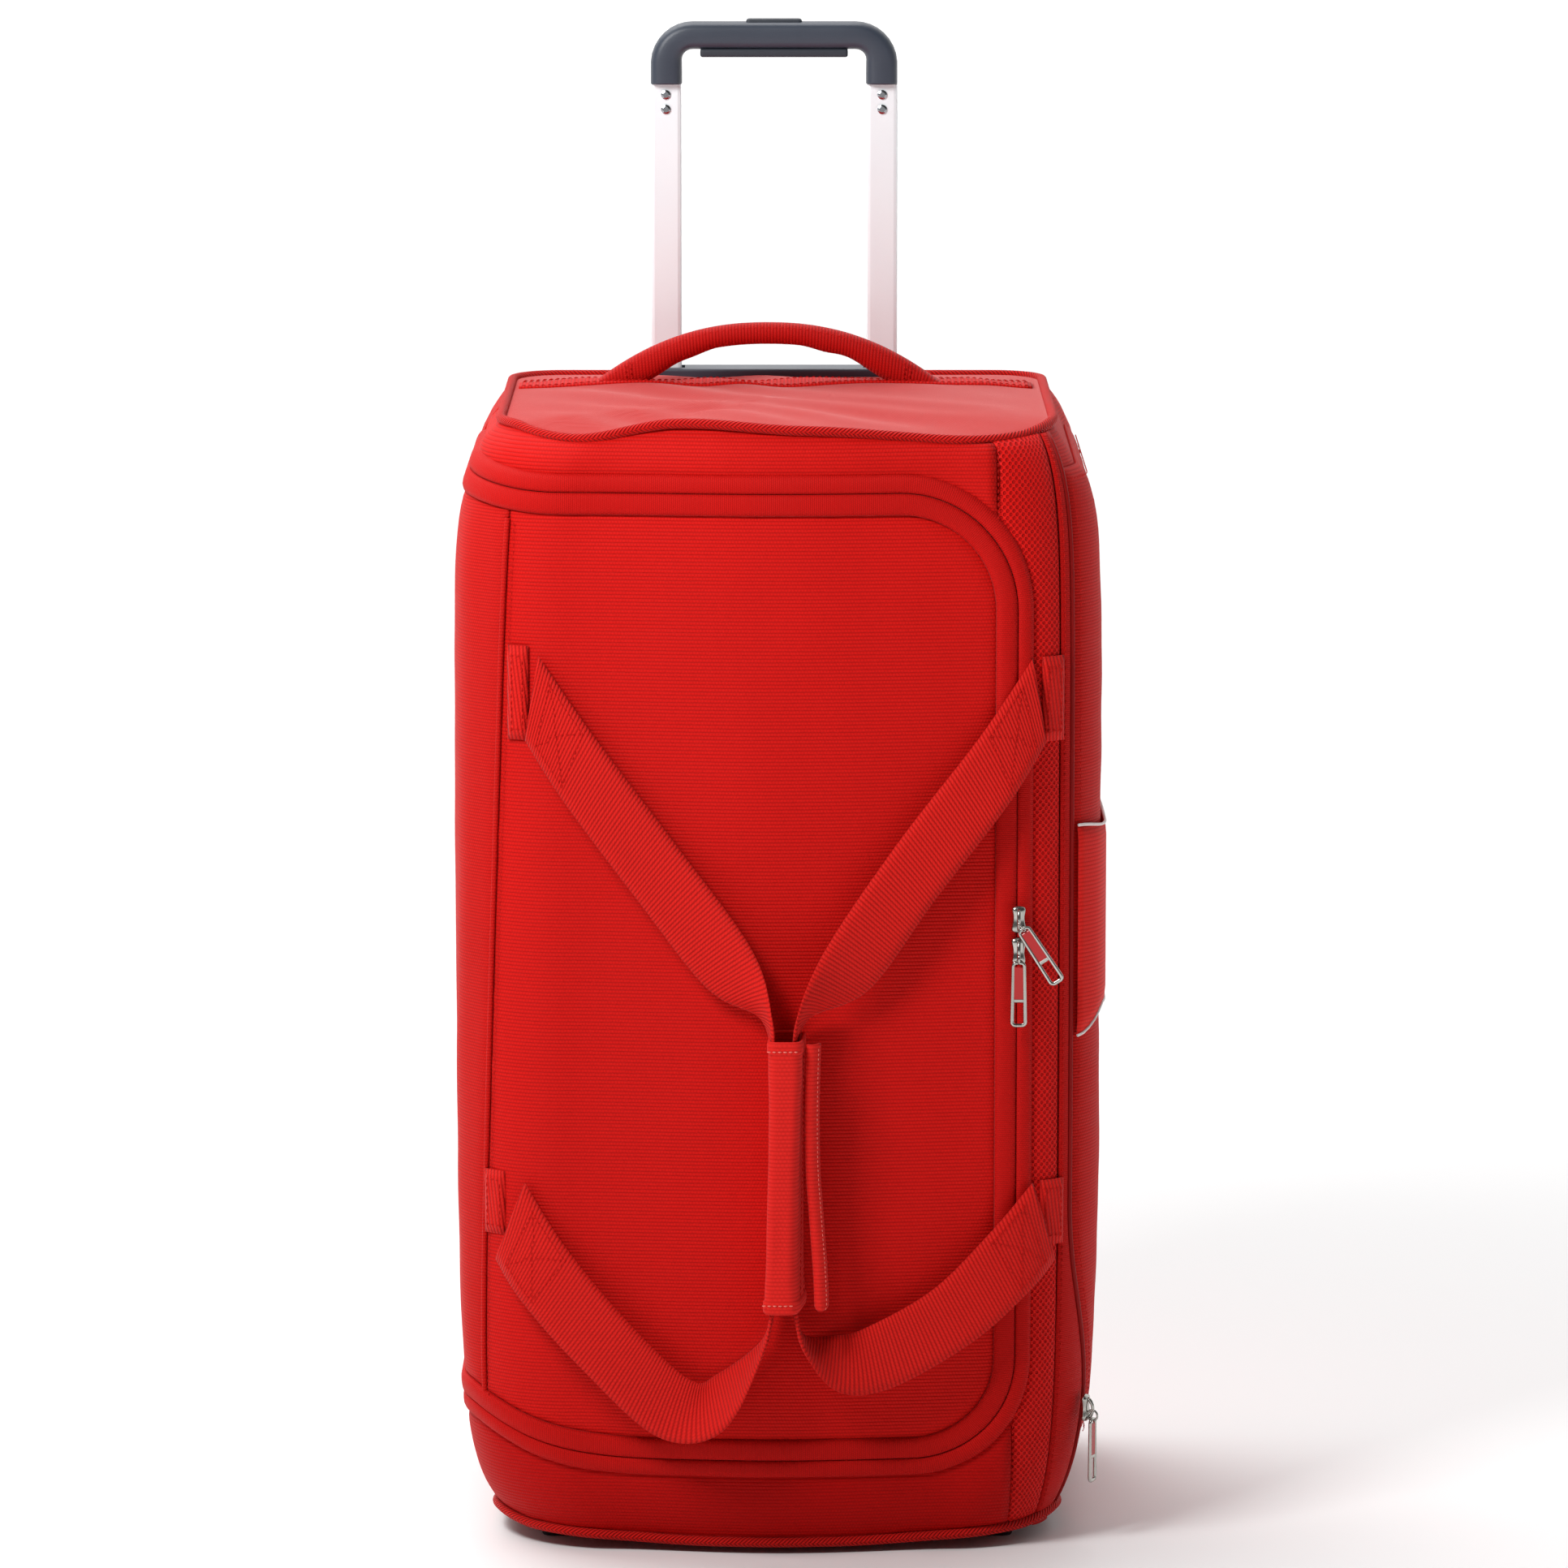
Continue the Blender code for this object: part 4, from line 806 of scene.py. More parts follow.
def inside_u(s, z, offset):
    """Distance in from the U's line at this offset."""
    if s > CORNER[0] and z > CORNER[1]:
        return ZIP_TOP_RADIUS + offset - math.hypot(s - CORNER[0], z - CORNER[1])
    if s > HEEL[0] and z < HEEL[1]:
        return ZIP_BOTTOM_RADIUS + offset - math.hypot(s - HEEL[0], z - HEEL[1])
    return min(top_of_u(s, offset) - z, z - bottom_of_u(s, offset), ZIP_RIGHT + offset - s)


def left_seam(z):
    """Where the flap's front and side meet, which leans out towards the bottom."""
    return -(0.1905 - 0.0445 * z)


def seam_dip(edge):
    """How far cloth sinks towards a seam at this distance."""
    return SEAM_SINK * math.exp(-max(edge, 0.0) / SEAM_REACH)


# The shell


def flap_span(s):
    return bottom_of_u(s, FLAP_EDGE), top_of_u(s, FLAP_EDGE)


def puckers(s, z, edge):
    """Small gathers that a seam pulls into the cloth beside it."""
    return 0.0009 * ripple(s, z, 0.0085, 9.4) * math.exp(-edge / 0.009) * ease(edge, 0.002)


def flap_front_out(s, z):
    edge = min(inside_u(s, z, FLAP_EDGE), s - left_seam(z))
    soft = 0.0016 * ripple(s, z, 0.12, 1.3) + 0.0007 * ripple(s, z, 0.035, 5.1)
    return 0.0030 * ease(edge, 0.030) - seam_dip(edge) + soft * ease(edge, 0.012) + puckers(s, z, edge)


def flap_side_out(s, z):
    edge = min(inside_u(s, z, FLAP_EDGE), left_seam(z) - s)
    folds = math.sin(2 * math.pi * (s / 0.043 + 0.35 * ripple(s, z, 0.16, 7.7)))
    folds *= 0.0011 * (0.5 + 0.5 * ripple(0.0, z, 0.12, 2.2))
    soft = folds + 0.0008 * ripple(s, z, 0.05, 3.9)
    return 0.0006 * ease(edge, 0.02) - seam_dip(edge) + soft * ease(edge, 0.012) + puckers(s, z, edge)


def make_flap():
    left = -0.172
    radius = ZIP_TOP_RADIUS + FLAP_EDGE
    columns = [left + h for h in HEM] + spread(left + 0.014, CORNER[0], 0.008)
    columns += [CORNER[0] + radius * math.sin(math.radians(5 * i)) for i in range(1, 18)]
    columns.append(CORNER[0] + radius * 0.9998)

    def lean(s, z):
        return s + (left_seam(z) - left) * smoothstep(0.02, left, s)

    front = panel("flap_front_cloth", columns, flap_span, flap_front_out, SHELL, move=lean, rows=84)
    settle(front, "flap", "shell_fabric", "flap_front_panel", held="stretched")

    def lean_side(s, z):
        return s + (left_seam(z) - left) * smoothstep(-0.30, left, s)

    columns = spread(HINGE_S, left - 0.014, 0.005) + [left - h for h in reversed(HEM)]
    side = panel("flap_side_cloth", columns, flap_span, flap_side_out, SIDE, move=lean_side, rows=84)
    settle(side, "flap_side", "shell_fabric", "flap_side_panel", held="stretched")

    seam = [(left_seam(z), z) for z in spread(0.087, 0.629, 0.006)]
    piping = tube("flap_corner_piping", [wall(s, z, 0.0002) for s, z in seam], 0.0016, SIDE, sides=8,
                  up=(0, 1, 0))
    settle(piping, "flap", "shell_fabric")
    line = on_wall([(s + 0.0055, z) for s, z in seam], 0.0016)
    settle(stitches("flap_corner_stitches", [line], THREAD), "flap", None)


def band_out(low, high):
    """How far a narrow band stands out between its two edges."""
    def out(s, z):
        edge = min(z - low(s), high(s) - z)
        soft = 0.0007 * ripple(s, z, 0.03, 6.6) * ease(edge, 0.006)
        return 0.0016 * ease(edge, 0.008) - seam_dip(edge) + soft + puckers(s, z, edge)
    return out


def make_bands():
    upper_low = (lambda s: top_of_u(s, BODY_EDGE))
    lower_high = (lambda s: bottom_of_u(s, BODY_EDGE))
    columns = spread(HINGE_S, MESH_LEFT, 0.006)
    upper = panel("upper_band_cloth", columns, lambda s: (upper_low(s), rim_z(s)),
                  band_out(upper_low, rim_z), BAND, rows=16)
    settle(upper, "root", "shell_fabric", "upper_front_band", held="stretched")
    columns = spread(HINGE_S, MESH_LEFT_FOOT, 0.006)
    lower = panel("lower_band_cloth", columns, lambda s: (foot_z(s), lower_high(s)),
                  band_out(foot_z, lower_high),
                  SHADED_FOOT_BAND, rows=20)
    settle(lower, "root", "shell_fabric", "lower_front_band", held="stretched")


def pocket_zip_s(z):
    """The pocket's zip runs straight down and swings back at its foot."""
    return POCKET_ZIP + (POCKET_ZIP_FOOT - POCKET_ZIP) * (1 - smoothstep(0.075, 0.215, z)) ** 1.2


def make_right_front():
    rows = 120
    columns = 12
    z_values = heights(foot_z(0), rim_z(MESH_RIGHT), rows)
    flat = []
    points = []
    for z in z_values:
        left = max(MESH_LEFT if z > 0.3 else MESH_LEFT_FOOT, right_of_u(z, BODY_EDGE))
        line = [(left + (MESH_RIGHT - left) * c / (columns - 1), z) for c in range(columns)]
        flat.append(line)
        row = []
        for s, _ in line:
            edge = min(s - left, MESH_RIGHT - s, z - foot_z(s), rim_z(s) - z)
            row.append(wall(s, z, 0.0008 * ease(edge, 0.006) - 0.0016 * math.exp(-edge / 0.0015)))
        points.append(row)
    mesh = skin("mesh_strip", points, flat, MESH, CLOTH, LINING)
    settle(mesh, "root", "mesh_fabric", "mesh_corner_panel", held="stretched")
    line = on_wall([(MESH_LEFT + 0.0010, z) for z in spread(0.630, 0.672, 0.004)], 0.0008)
    foot = on_wall([(MESH_LEFT_FOOT + 0.0010, z) for z in spread(0.018, 0.080, 0.004)], 0.0008)
    settle(stitches("mesh_edge_stitches", [line, foot], THREAD), "root", None)

    flat = []
    points = []
    shares = (0.0, 0.10, 0.25, 0.5, 0.75, 0.90, 1.0)
    for z in z_values:
        right = pocket_zip_s(z) - 0.0012
        line = [(MESH_RIGHT + (right - MESH_RIGHT) * share, z) for share in shares]
        flat.append(line)
        points.append([wall(s, z, 0.0014 * math.sin(math.pi * min(max(share, 0.0), 1.0)) ** 0.5 - 0.0008)
                       for share, (s, _) in zip(shares, line)])
    band = skin("pocket_zip_front_tape", points, flat, TAPE, CLOTH, LINING)
    settle(band, "root", "zip_tape", "pocket_zip_tape", held="stretched")
    line = on_wall([(MESH_RIGHT + 0.0022, z) for z in spread(0.022, 0.672, 0.006)], 0.0008)
    settle(stitches("pocket_tape_stitches", [line], THREAD), "root", None)


def make_right_side():
    """The base wall behind the pocket, the bulged pocket on it and the patch on the pocket."""
    columns = spread(POCKET_ZIP - 0.006, SIDE_END, 0.010)
    base = panel("pocket_back_cloth", columns, lambda s: (foot_z(s), rim_z(s)),
                 lambda s, z: -0.0040 + 0.0040 * smoothstep(POCKET_BACK - 0.010, SIDE_END, s), SIDE, rows=60)
    settle(base, "root", "lining_fabric", "side_pocket_lining", held="stretched")

    low, high = 0.0580, 0.6560
    shares = ([0.0, 0.003, 0.008, 0.016, 0.028] + spread(0.045, 0.955, 0.035)
              + [0.972, 0.984, 0.992, 0.997, 1.0])
    flat = []
    points = []
    for z in heights(low, high, 76):
        left = pocket_zip_s(z) + 0.0012
        line = []
        row = []
        for share in shares:
            s = left + (POCKET_BACK - left) * share
            edge = min(s - left, POCKET_BACK - s, z - low, high - z)
            soft = 0.0012 * ripple(s, z, 0.09, 8.8) + 0.0006 * ripple(s, z, 0.03, 4.4)
            belly = 0.0018 * ease(edge, 0.022) + soft * ease(edge, 0.012) + puckers(s, z, edge)
            line.append((s, z))
            row.append(wall(s, z, -0.0026 * math.exp(-edge / 0.0030) + belly))
        flat.append(line)
        points.append(row)
    pocket = skin("side_pocket_cloth", points, flat, SIDE, CLOTH, LINING)
    settle(pocket, "root", "shell_fabric", "side_pocket_panel", held="stretched")

    edge_line = [(pocket_zip_s(z) + 0.0060, z) for z in spread(0.068, 0.646, 0.006)]
    back_line = [(POCKET_BACK - 0.006, z) for z in spread(0.068, 0.646, 0.006)]
    lines = [on_wall(edge_line, 0.0016), on_wall(back_line, 0.0014)]
    for z in (low + 0.006, high - 0.006):
        lines.append(on_wall([(s, z) for s in spread(pocket_zip_s(z) + 0.008, POCKET_BACK - 0.008, 0.006)],
                             0.0014))
    settle(stitches("pocket_stitches", lines, THREAD), "root", None)

    coil = [wall(pocket_zip_s(z), z, -0.0004) for z in spread(0.016, 0.676, 0.005)]
    settle(tube("pocket_zip_coil", coil, 0.0016, COIL, sides=8, up=(0, 1, 0)), "root", "zip_tape")
    make_pocket_patch()


def make_pocket_patch():
    """A smooth patch across the pocket from its zip, edged with white cord."""
    low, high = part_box("side_pocket_patch")
    start = POCKET_ZIP + 0.0035
    end = SIDE_START + high[1] - (FRONT_Y + FRONT_RADIUS)
    middle = (low[2] + high[2]) / 2 + 0.011
    half = (high[2] - low[2]) / 2
    flat = []
    points = []
    edges = ([], [])
    for i in range(41):
        share = i / 40
        s = start + (end - start) * share
        rear = math.sqrt(max(1 - share ** 6, 0.0))
        top = middle + (half - 0.0035 * smoothstep(0.0, 0.16, share)) * rear
        foot = middle - (half - 0.0160 * smoothstep(0.0, 0.16, share)) * rear
        line = []
        row = []
        for k in range(15):
            z = foot + (top - foot) * k / 14
            rim = min(top - z, z - foot)
            line.append((s, z))
            row.append(wall(s, z, 0.0022 + 0.0022 * smoothstep(0.0, 0.10, share) + 0.0008 * ease(rim, 0.002)))
        flat.append(line)
        points.append(row)
        edges[0].append(row[0])
        edges[1].append(row[-1])
    patch = skin("side_pocket_badge", points, flat, WRAP, 0.0010, WRAP, flip=True)
    settle(patch, "root", "shell_fabric", "side_pocket_patch", held="laid", rests_on=["side_pocket_cloth"])
    rim = edges[0] + edges[1][::-1]
    rim = [p for i, p in enumerate(rim) if i == 0 or (p - rim[i - 1]).length > 1e-6]
    settle(tube("side_pocket_badge_cord", rim, 0.0009, CORD_WHITE, sides=8, up=(1, 0, 0)), "root", None)


def make_left_side():
    columns = spread(-SIDE_END, HINGE_S + 0.0008, 0.009)
    soft = (lambda s, z: 0.0014 * ripple(s, z, 0.07, 9.1) + 0.0006 * math.sin(2 * math.pi * s / 0.037))

    def out(s, z):
        edge = min(z - foot_z(s), rim_z(s) - z, HINGE_S - s, s + SIDE_END)
        return 0.0010 * ease(edge, 0.02) - seam_dip(min(edge, s + SIDE_END)) + soft(s, z) * ease(edge, 0.012)

    side = panel("left_side_cloth", columns, lambda s: (foot_z(s), rim_z(s)), out, SIDE, rows=84)
    settle(side, "root", "shell_fabric", "left_side_panel", held="stretched")
    seam = [wall(HINGE_S, z, -0.0012) for z in spread(0.016, 0.678, 0.006)]
    settle(tube("hinge_seam_cord", seam, 0.0021, SIDE, sides=8, up=(0, 1, 0)), "root", "shell_fabric")
    line = on_wall([(HINGE_S - 0.006, z) for z in spread(0.06, 0.655, 0.006)], 0.0014)
    settle(stitches("left_side_stitches", [line], THREAD), "root", None)


def make_back():
    """The back, with a padded channel over the trolley and a scuff patch at its foot."""
    start, end = SIDE_END, 2 * BACK_MIDDLE - SIDE_END
    columns = ([start + h for h in HEM] + spread(start + 0.014, end - 0.014, 0.009)
               + [end - h for h in reversed(HEM)])
    channel = 0.100

    def out(s, z):
        edge = min(s - start, end - s, z - foot_z(s), rim_z(s) - z)
        from_seam = abs(abs(s - BACK_MIDDLE) - channel)
        quilt = 0.0016 * ease(from_seam, 0.012) - 0.0012
        return (quilt * ease(edge, 0.01) - seam_dip(edge)
                + 0.0007 * ripple(s, z, 0.09, 3.3) * ease(edge, 0.012))

    back = panel("back_cloth", columns, lambda s: (foot_z(s), rim_z(s)), out, SHELL, rows=84)
    settle(back, "root", "shell_fabric", "back_panel", held="stretched")
    lines = []
    for side in (-1, 1):
        for shift in (-0.004, 0.004):
            lines.append(on_wall([(BACK_MIDDLE + side * channel + shift, z)
                                  for z in spread(0.10, 0.665, 0.006)], 0.0006))
    settle(stitches("back_stitches", lines, THREAD), "root", None)
    low, high = 0.020, 0.105
    columns = spread(BACK_MIDDLE - 0.150, BACK_MIDDLE + 0.150, 0.008)
    cuts = []
    for side in ("left", "right"):
        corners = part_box(f"wheel_housing_{side}")
        cuts.append((corners[0] - Vector((0.004, 0.004, 0.004)), corners[1] + Vector((0.004, 0.02, 0.004))))
    guard = panel("back_scuff_guard", columns, lambda s: (low, high),
                  lambda s, z: (0.0016 + 0.0012
                                * ease(min(z - low, high - z, 0.150 - abs(s - BACK_MIDDLE)), 0.004)),
                  BASE, rows=24, thickness=0.0014, lining=BASE, cuts=cuts)
    settle(guard, "root", "base_fabric", held="laid", rests_on=["back_cloth"])


def plate_ring(z, shrink):
    """The shell's outline at one height, drawn in towards the middle."""
    ring = []
    for s in spread(-BACK_MIDDLE, BACK_MIDDLE, 0.010)[:-1]:
        x, y, out_x, out_y = outline(s, z)
        ring.append((Vector((x - out_x * shrink, y - out_y * shrink, 0)), s))
    return ring


def end_panel(name, height, material, at_z, sign, cuts, inset=0.0004):
    """The cloth across one end of the shell: height(x, y) is its surface, and the rim dips to the piping."""
    centre = Vector((0, (FRONT_Y + BACK_Y) / 2, 0))
    ring = plate_ring(at_z, inset)
    shares = [1.0, 0.992, 0.98, 0.965, 0.94] + spread(0.90, 0.0, 0.055)
    points = []
    flat = []
    for share in shares:
        row = []
        line = []
        for rim, s in ring:
            place = centre.lerp(rim, share)
            dip = 0.0022 * math.exp(-(1 - share) / 0.012)
            row.append(Vector((place.x, place.y, height(place.x, place.y, s) - sign * dip)))
            line.append((place.x, place.y))
        points.append(row)
        flat.append(line + [line[0]])
    obj = skin(name, points, flat, material, lining=LINING, closed=True, flip=sign < 0)
    bm = bmesh.new()
    bm.from_mesh(obj.data)
    bmesh.ops.remove_doubles(bm, verts=bm.verts, dist=1e-6)
    bm.to_mesh(obj.data)
    bm.free()
    for low, high in cuts:
        cut_box(obj, low, high)
    return thicken(obj, 0.0018)


def top_height(x, y, s):
    """The top panel's soft surface: level at the back, waving at the front edge, wrinkled across."""
    front = smoothstep(0.02, FRONT_Y, y)
    edge = rim_z(s) - RIM_Z
    wrinkles = math.sin(2 * math.pi * (0.8 * x + y) / 0.062 + 3.0 * ripple(x, y, 0.11, 2.7))
    wrinkles *= 0.5 + 0.5 * ripple(x, y, 0.10, 5.5)
    inside = smoothstep(0.0, 0.05, min(HALF_WIDTH - 0.03 - abs(x), y - FRONT_Y, BACK_Y - y))
    return RIM_Z + 0.0022 + front * edge + inside * (0.0022 + 0.0015 * wrinkles
                                                     + 0.0014 * ripple(x, y, 0.06, 1.1))


def bottom_height(x, y, s):
    """The bottom panel: level, and following the sagging edge in front."""
    return BOTTOM_Z + 0.0006 + (foot_z(s) - BOTTOM_Z - 0.0015) * smoothstep(FRONT_Y + 0.13, FRONT_Y, y)


def top_line(places, out=0.0012):
    """Stitch line over the top panel through places (x, y)."""
    return [(Vector((x, y, top_height(x, y, -SIDE_START) + out)), Vector((0, 0, 1))) for x, y in places]


def make_ends():
    low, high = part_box("trolley_bezel")
    slots = [(Vector((low.x + 0.003, low.y + 0.003, 0.60)), Vector((high.x - 0.003, high.y - 0.002, 0.75)))]
    top = end_panel("top_cloth_panel", top_height, TOP, TOP_Z - 0.001, 1, slots)
    settle(top, "root", "shell_fabric", "top_end_panel", held="stretched")
    slots = []
    for side in ("left", "right"):
        low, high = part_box(f"wheel_housing_{side}")
        slots.append((Vector((low.x + 0.002, low.y + 0.002, -0.1)),
                      Vector((high.x - 0.002, high.y - 0.002, 0.1))))
    bottom = end_panel("bottom_cloth_panel", bottom_height, BASE, BOTTOM_Z + 0.001, -1, slots)
    settle(bottom, "root", "base_fabric", "bottom_end_panel", held="stretched")

    grab_y = (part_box("top_grab_handle")[0].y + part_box("top_grab_handle")[1].y) / 2
    strip = []
    flat = []
    for y in (grab_y - 0.0135, grab_y - 0.0125, grab_y - 0.006, grab_y, grab_y + 0.006, grab_y + 0.0125,
              grab_y + 0.0135):
        edge = abs(y - grab_y) > 0.0130
        row = [Vector((x, y, top_height(x, y, -SIDE_START) + (0.0001 if edge else 0.0012)))
               for x in spread(-0.160, 0.158, 0.006)]
        strip.append(row)
        flat.append([(y, p.x) for p in row])
    band = skin("top_reinforcing_strip", strip, flat, BAND, 0.0008, BAND, flip=False)
    settle(tidy(band), "root", "strap_webbing", held="laid", rests_on=["top_cloth_panel"])
    lines = [top_line([(x, grab_y + shift) for x in spread(-0.157, 0.155, 0.006)], 0.0016)
             for shift in (-0.0105, 0.0105)]
    lines.append(top_line([(x, grab_y + 0.030) for x in spread(-0.157, -0.092, 0.006)], 0.0002))
    lines.append(top_line([(x, grab_y + 0.030) for x in spread(0.090, 0.155, 0.006)], 0.0002))
    settle(stitches("top_stitches", lines, THREAD), "root", None)


def make_piping():
    s_values = spread(-BACK_MIDDLE, BACK_MIDDLE, 0.004)[:-1]
    top = [wall(s, TOP_Z, 0.0008) + Vector((0, 0, rim_z(s) + 0.0016 - TOP_Z)) for s in s_values]
    cord = tube("top_piping_cord", top, PIPING_RADIUS, CORD, closed=True)
    settle(cord, "root", "piping_rope", "top_piping")
    bottom = [wall(s, foot_z(s), 0.0005) + Vector((0, 0, -0.0011))
              for s in spread(-SIDE_END + 0.012, SIDE_END - 0.012, 0.004)]
    cord = tube("bottom_piping_cord", bottom, PIPING_RADIUS, CORD)
    settle(cord, "root", "piping_rope", "bottom_piping")


# The zip


FLAP_TAPE = ((-0.0119, -0.0012), (-0.0113, 0.0006), (-0.0096, 0.0013), (-0.0072, 0.0015), (-0.0048, 0.0014),
             (-0.0026, 0.0012), (-0.0014, 0.0006), (-0.0011, -0.0006))
BODY_TAPE = ((0.0011, -0.0006), (0.0014, 0.0006), (0.0024, 0.0012), (0.0042, 0.0014), (0.0066, 0.0014),
             (0.0084, 0.0008), (0.0092, -0.0010), (0.0118, -0.0032))


def make_zip():
    line = zip_line()
    flap = ribbon("zip_tape_flap", line, FLAP_TAPE, TAPE)
    settle(flap, "flap_side", "zip_tape", "main_zip_flap_tape", held="stretched")
    body = ribbon("zip_tape_body", line, BODY_TAPE, TAPE)
    settle(body, "root", "zip_tape", "main_zip_body_tape", held="stretched")
    for name, shift, body_name in (("zip_coil_flap", -0.0006, "flap_side"),
                                   ("zip_coil_body", 0.0006, "root")):
        path = [wall(s + ds * shift, z + dz * shift, -0.0006) for s, z, ds, dz in line]
        coil = tube(name, path, 0.0008, COIL, sides=6, up=(0, 1, 0.3))
        settle(coil, body_name, "zip_tape")
    for name, offset, out, body_name in (("zip_stitches_flap", -0.0101, 0.0013, "flap_side"),
                                         ("zip_stitches_body", 0.0076, 0.0012, "root")):
        seam = on_wall([(s + ds * offset, z + dz * offset) for s, z, ds, dz in line], out)
        settle(stitches(name, [seam], THREAD, length=0.0022, radius=0.0003), body_name, None)


def pull_parts(name, head, tip, out, width, narrow=0.86):
    """A zip pull: a metal frame with an open window near its tip and a red insert in its upper part."""
    along = (tip - head).normalized()
    length = (tip - head).length
    across = along.cross(out).normalized()
    normal = across.cross(along).normalized()
    if normal.dot(out) < 0:
        normal = -normal
    thick = 0.0018

    def outline_at(shrink):
        points = []
        half = width / 2 - shrink
        top, foot = shrink, length - shrink
        corner = max(0.0032 - shrink, 0.0008)
        for cx, cz, start in ((half - corner, foot - corner, 0), (-half + corner, foot - corner, 90),
                              (-half * narrow + corner, top + corner, 180),
                              (half * narrow - corner, top + corner, 270)):
            for k in range(7):
                angle = math.radians(start + 15 * k)
                points.append((cx + corner * math.cos(angle), cz + corner * math.sin(angle)))
        return points

    def place(x, z, lift):
        return head + across * x + along * z + normal * lift

    rings = []
    for shrink, lift in ((0.0, -thick * 0.25), (0.0, thick * 0.25), (0.0005, thick * 0.5),
                         (0.0017, thick * 0.5),
                         (0.0022, thick * 0.25), (0.0022, -thick * 0.25), (0.0017, -thick * 0.5),
                         (0.0005, -thick * 0.5), (0.0, -thick * 0.25)):
        rings.append([place(x, z, lift) for x, z in outline_at(shrink)])
    flat = [[(k * 0.002, r * 0.002) for k in range(len(rings[0]) + 1)] for r in range(len(rings))]
    frame_piece = tidy(skin(f"{name}_frame", rings, flat, CHROME, closed=True))
    bar_z = length * 0.60
    inner = width / 2 - 0.0018
    bar = pull_block(f"{name}_bar", place, (-inner, bar_z - 0.0011), (inner, bar_z + 0.0011), thick * 0.42,
                     CHROME)
    insert = pull_block(f"{name}_insert", place, (-inner * 0.95, 0.0034), (inner * 0.95, bar_z - 0.0006),
                        thick * 0.36, ENAMEL)
    return [frame_piece, bar, insert]


def pull_block(name, place, low, high, half_thick, material):
    """A small block with softened edges in a pull's own directions."""
    soft = 0.0004
    rings = []
    for shrink, lift in ((soft, -half_thick), (0.0, -half_thick * 0.5), (0.0, half_thick * 0.5),
                         (soft, half_thick)):
        left, right = low[0] + shrink, high[0] - shrink
        foot, head = low[1] + shrink, high[1] - shrink
        corners = ((left, foot), (right, foot), (right, head), (left, head))
        rings.append([place(x, z, lift) for x, z in corners])
    flat = [[(k * 0.004, r * 0.001) for k in range(5)] for r in range(4)]
    obj = tidy(skin(name, rings, flat, material, closed=True), fill=True)
    obj.data.shade_flat()
    return obj


def ring_link(name, centre, axis, radius, wire, material):
    """A small closed wire ring whose axis is given."""
    axis = axis.normalized()
    first = axis.cross(Vector((0.2, 0.3, 0.9))).normalized()
    second = axis.cross(first)
    path = [centre + (first * math.cos(a) + second * math.sin(a)) * radius
            for a in (2 * math.pi * k / 20 for k in range(20))]
    return tube(name, path, wire, material, closed=True, sides=8, up=tuple(axis))


def slider(name, node, along, out, flare=1.0, sunk=0.0):
    """A zip slider: a waisted body with a bridge over it, built about the middle of its CAD node."""
    low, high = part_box(node)
    middle = (low + high) / 2 - out.normalized() * sunk
    out = out.normalized()
    side = along.cross(out).normalized()
    parts = []
    rings = []
    flat = []
    for i in range(15):
        t = i / 14
        reach = 0.0084 * (2 * t - 1)
        full = 0.0034 + 0.0017 * flare * (2 * abs(t - 0.55)) ** 1.4
        wide = full * math.sqrt(max(1 - (2 * t - 1) ** 8, 0.02))
        tall = 0.0021 * math.sqrt(max(1 - (2 * t - 1) ** 6, 0.02)) + 0.0003 * math.sin(3 * math.pi * t)
        ring = []
        for k in range(16):
            a = 2 * math.pi * k / 16
            c, w = math.cos(a), math.sin(a)
            c = squared_off(c, 0.7)
            w = squared_off(w, 0.7)
            ring.append(middle + along * reach + side * wide * c + out * (tall * w - 0.0016))
        rings.append(ring)
        flat.append([(k * 0.001, i * 0.001) for k in range(17)])
    parts.append(tidy(skin(f"{name}_shell", rings, flat, CHROME, closed=True), fill=True))
    arch = []
    for i in range(13):
        t = i / 12
        arch.append(middle + along * 0.0060 * (1 - 2 * t)
                    + out * (0.0002 + 0.0030 * math.sin(math.pi * t) ** 0.6))
    parts.append(tube(f"{name}_bridge", arch, 0.0011, CHROME, sides=8, up=tuple(side)))
    return join(name, parts)


POCKET_SUNK = 0.0045  # the pocket's cloth gives way under its slider


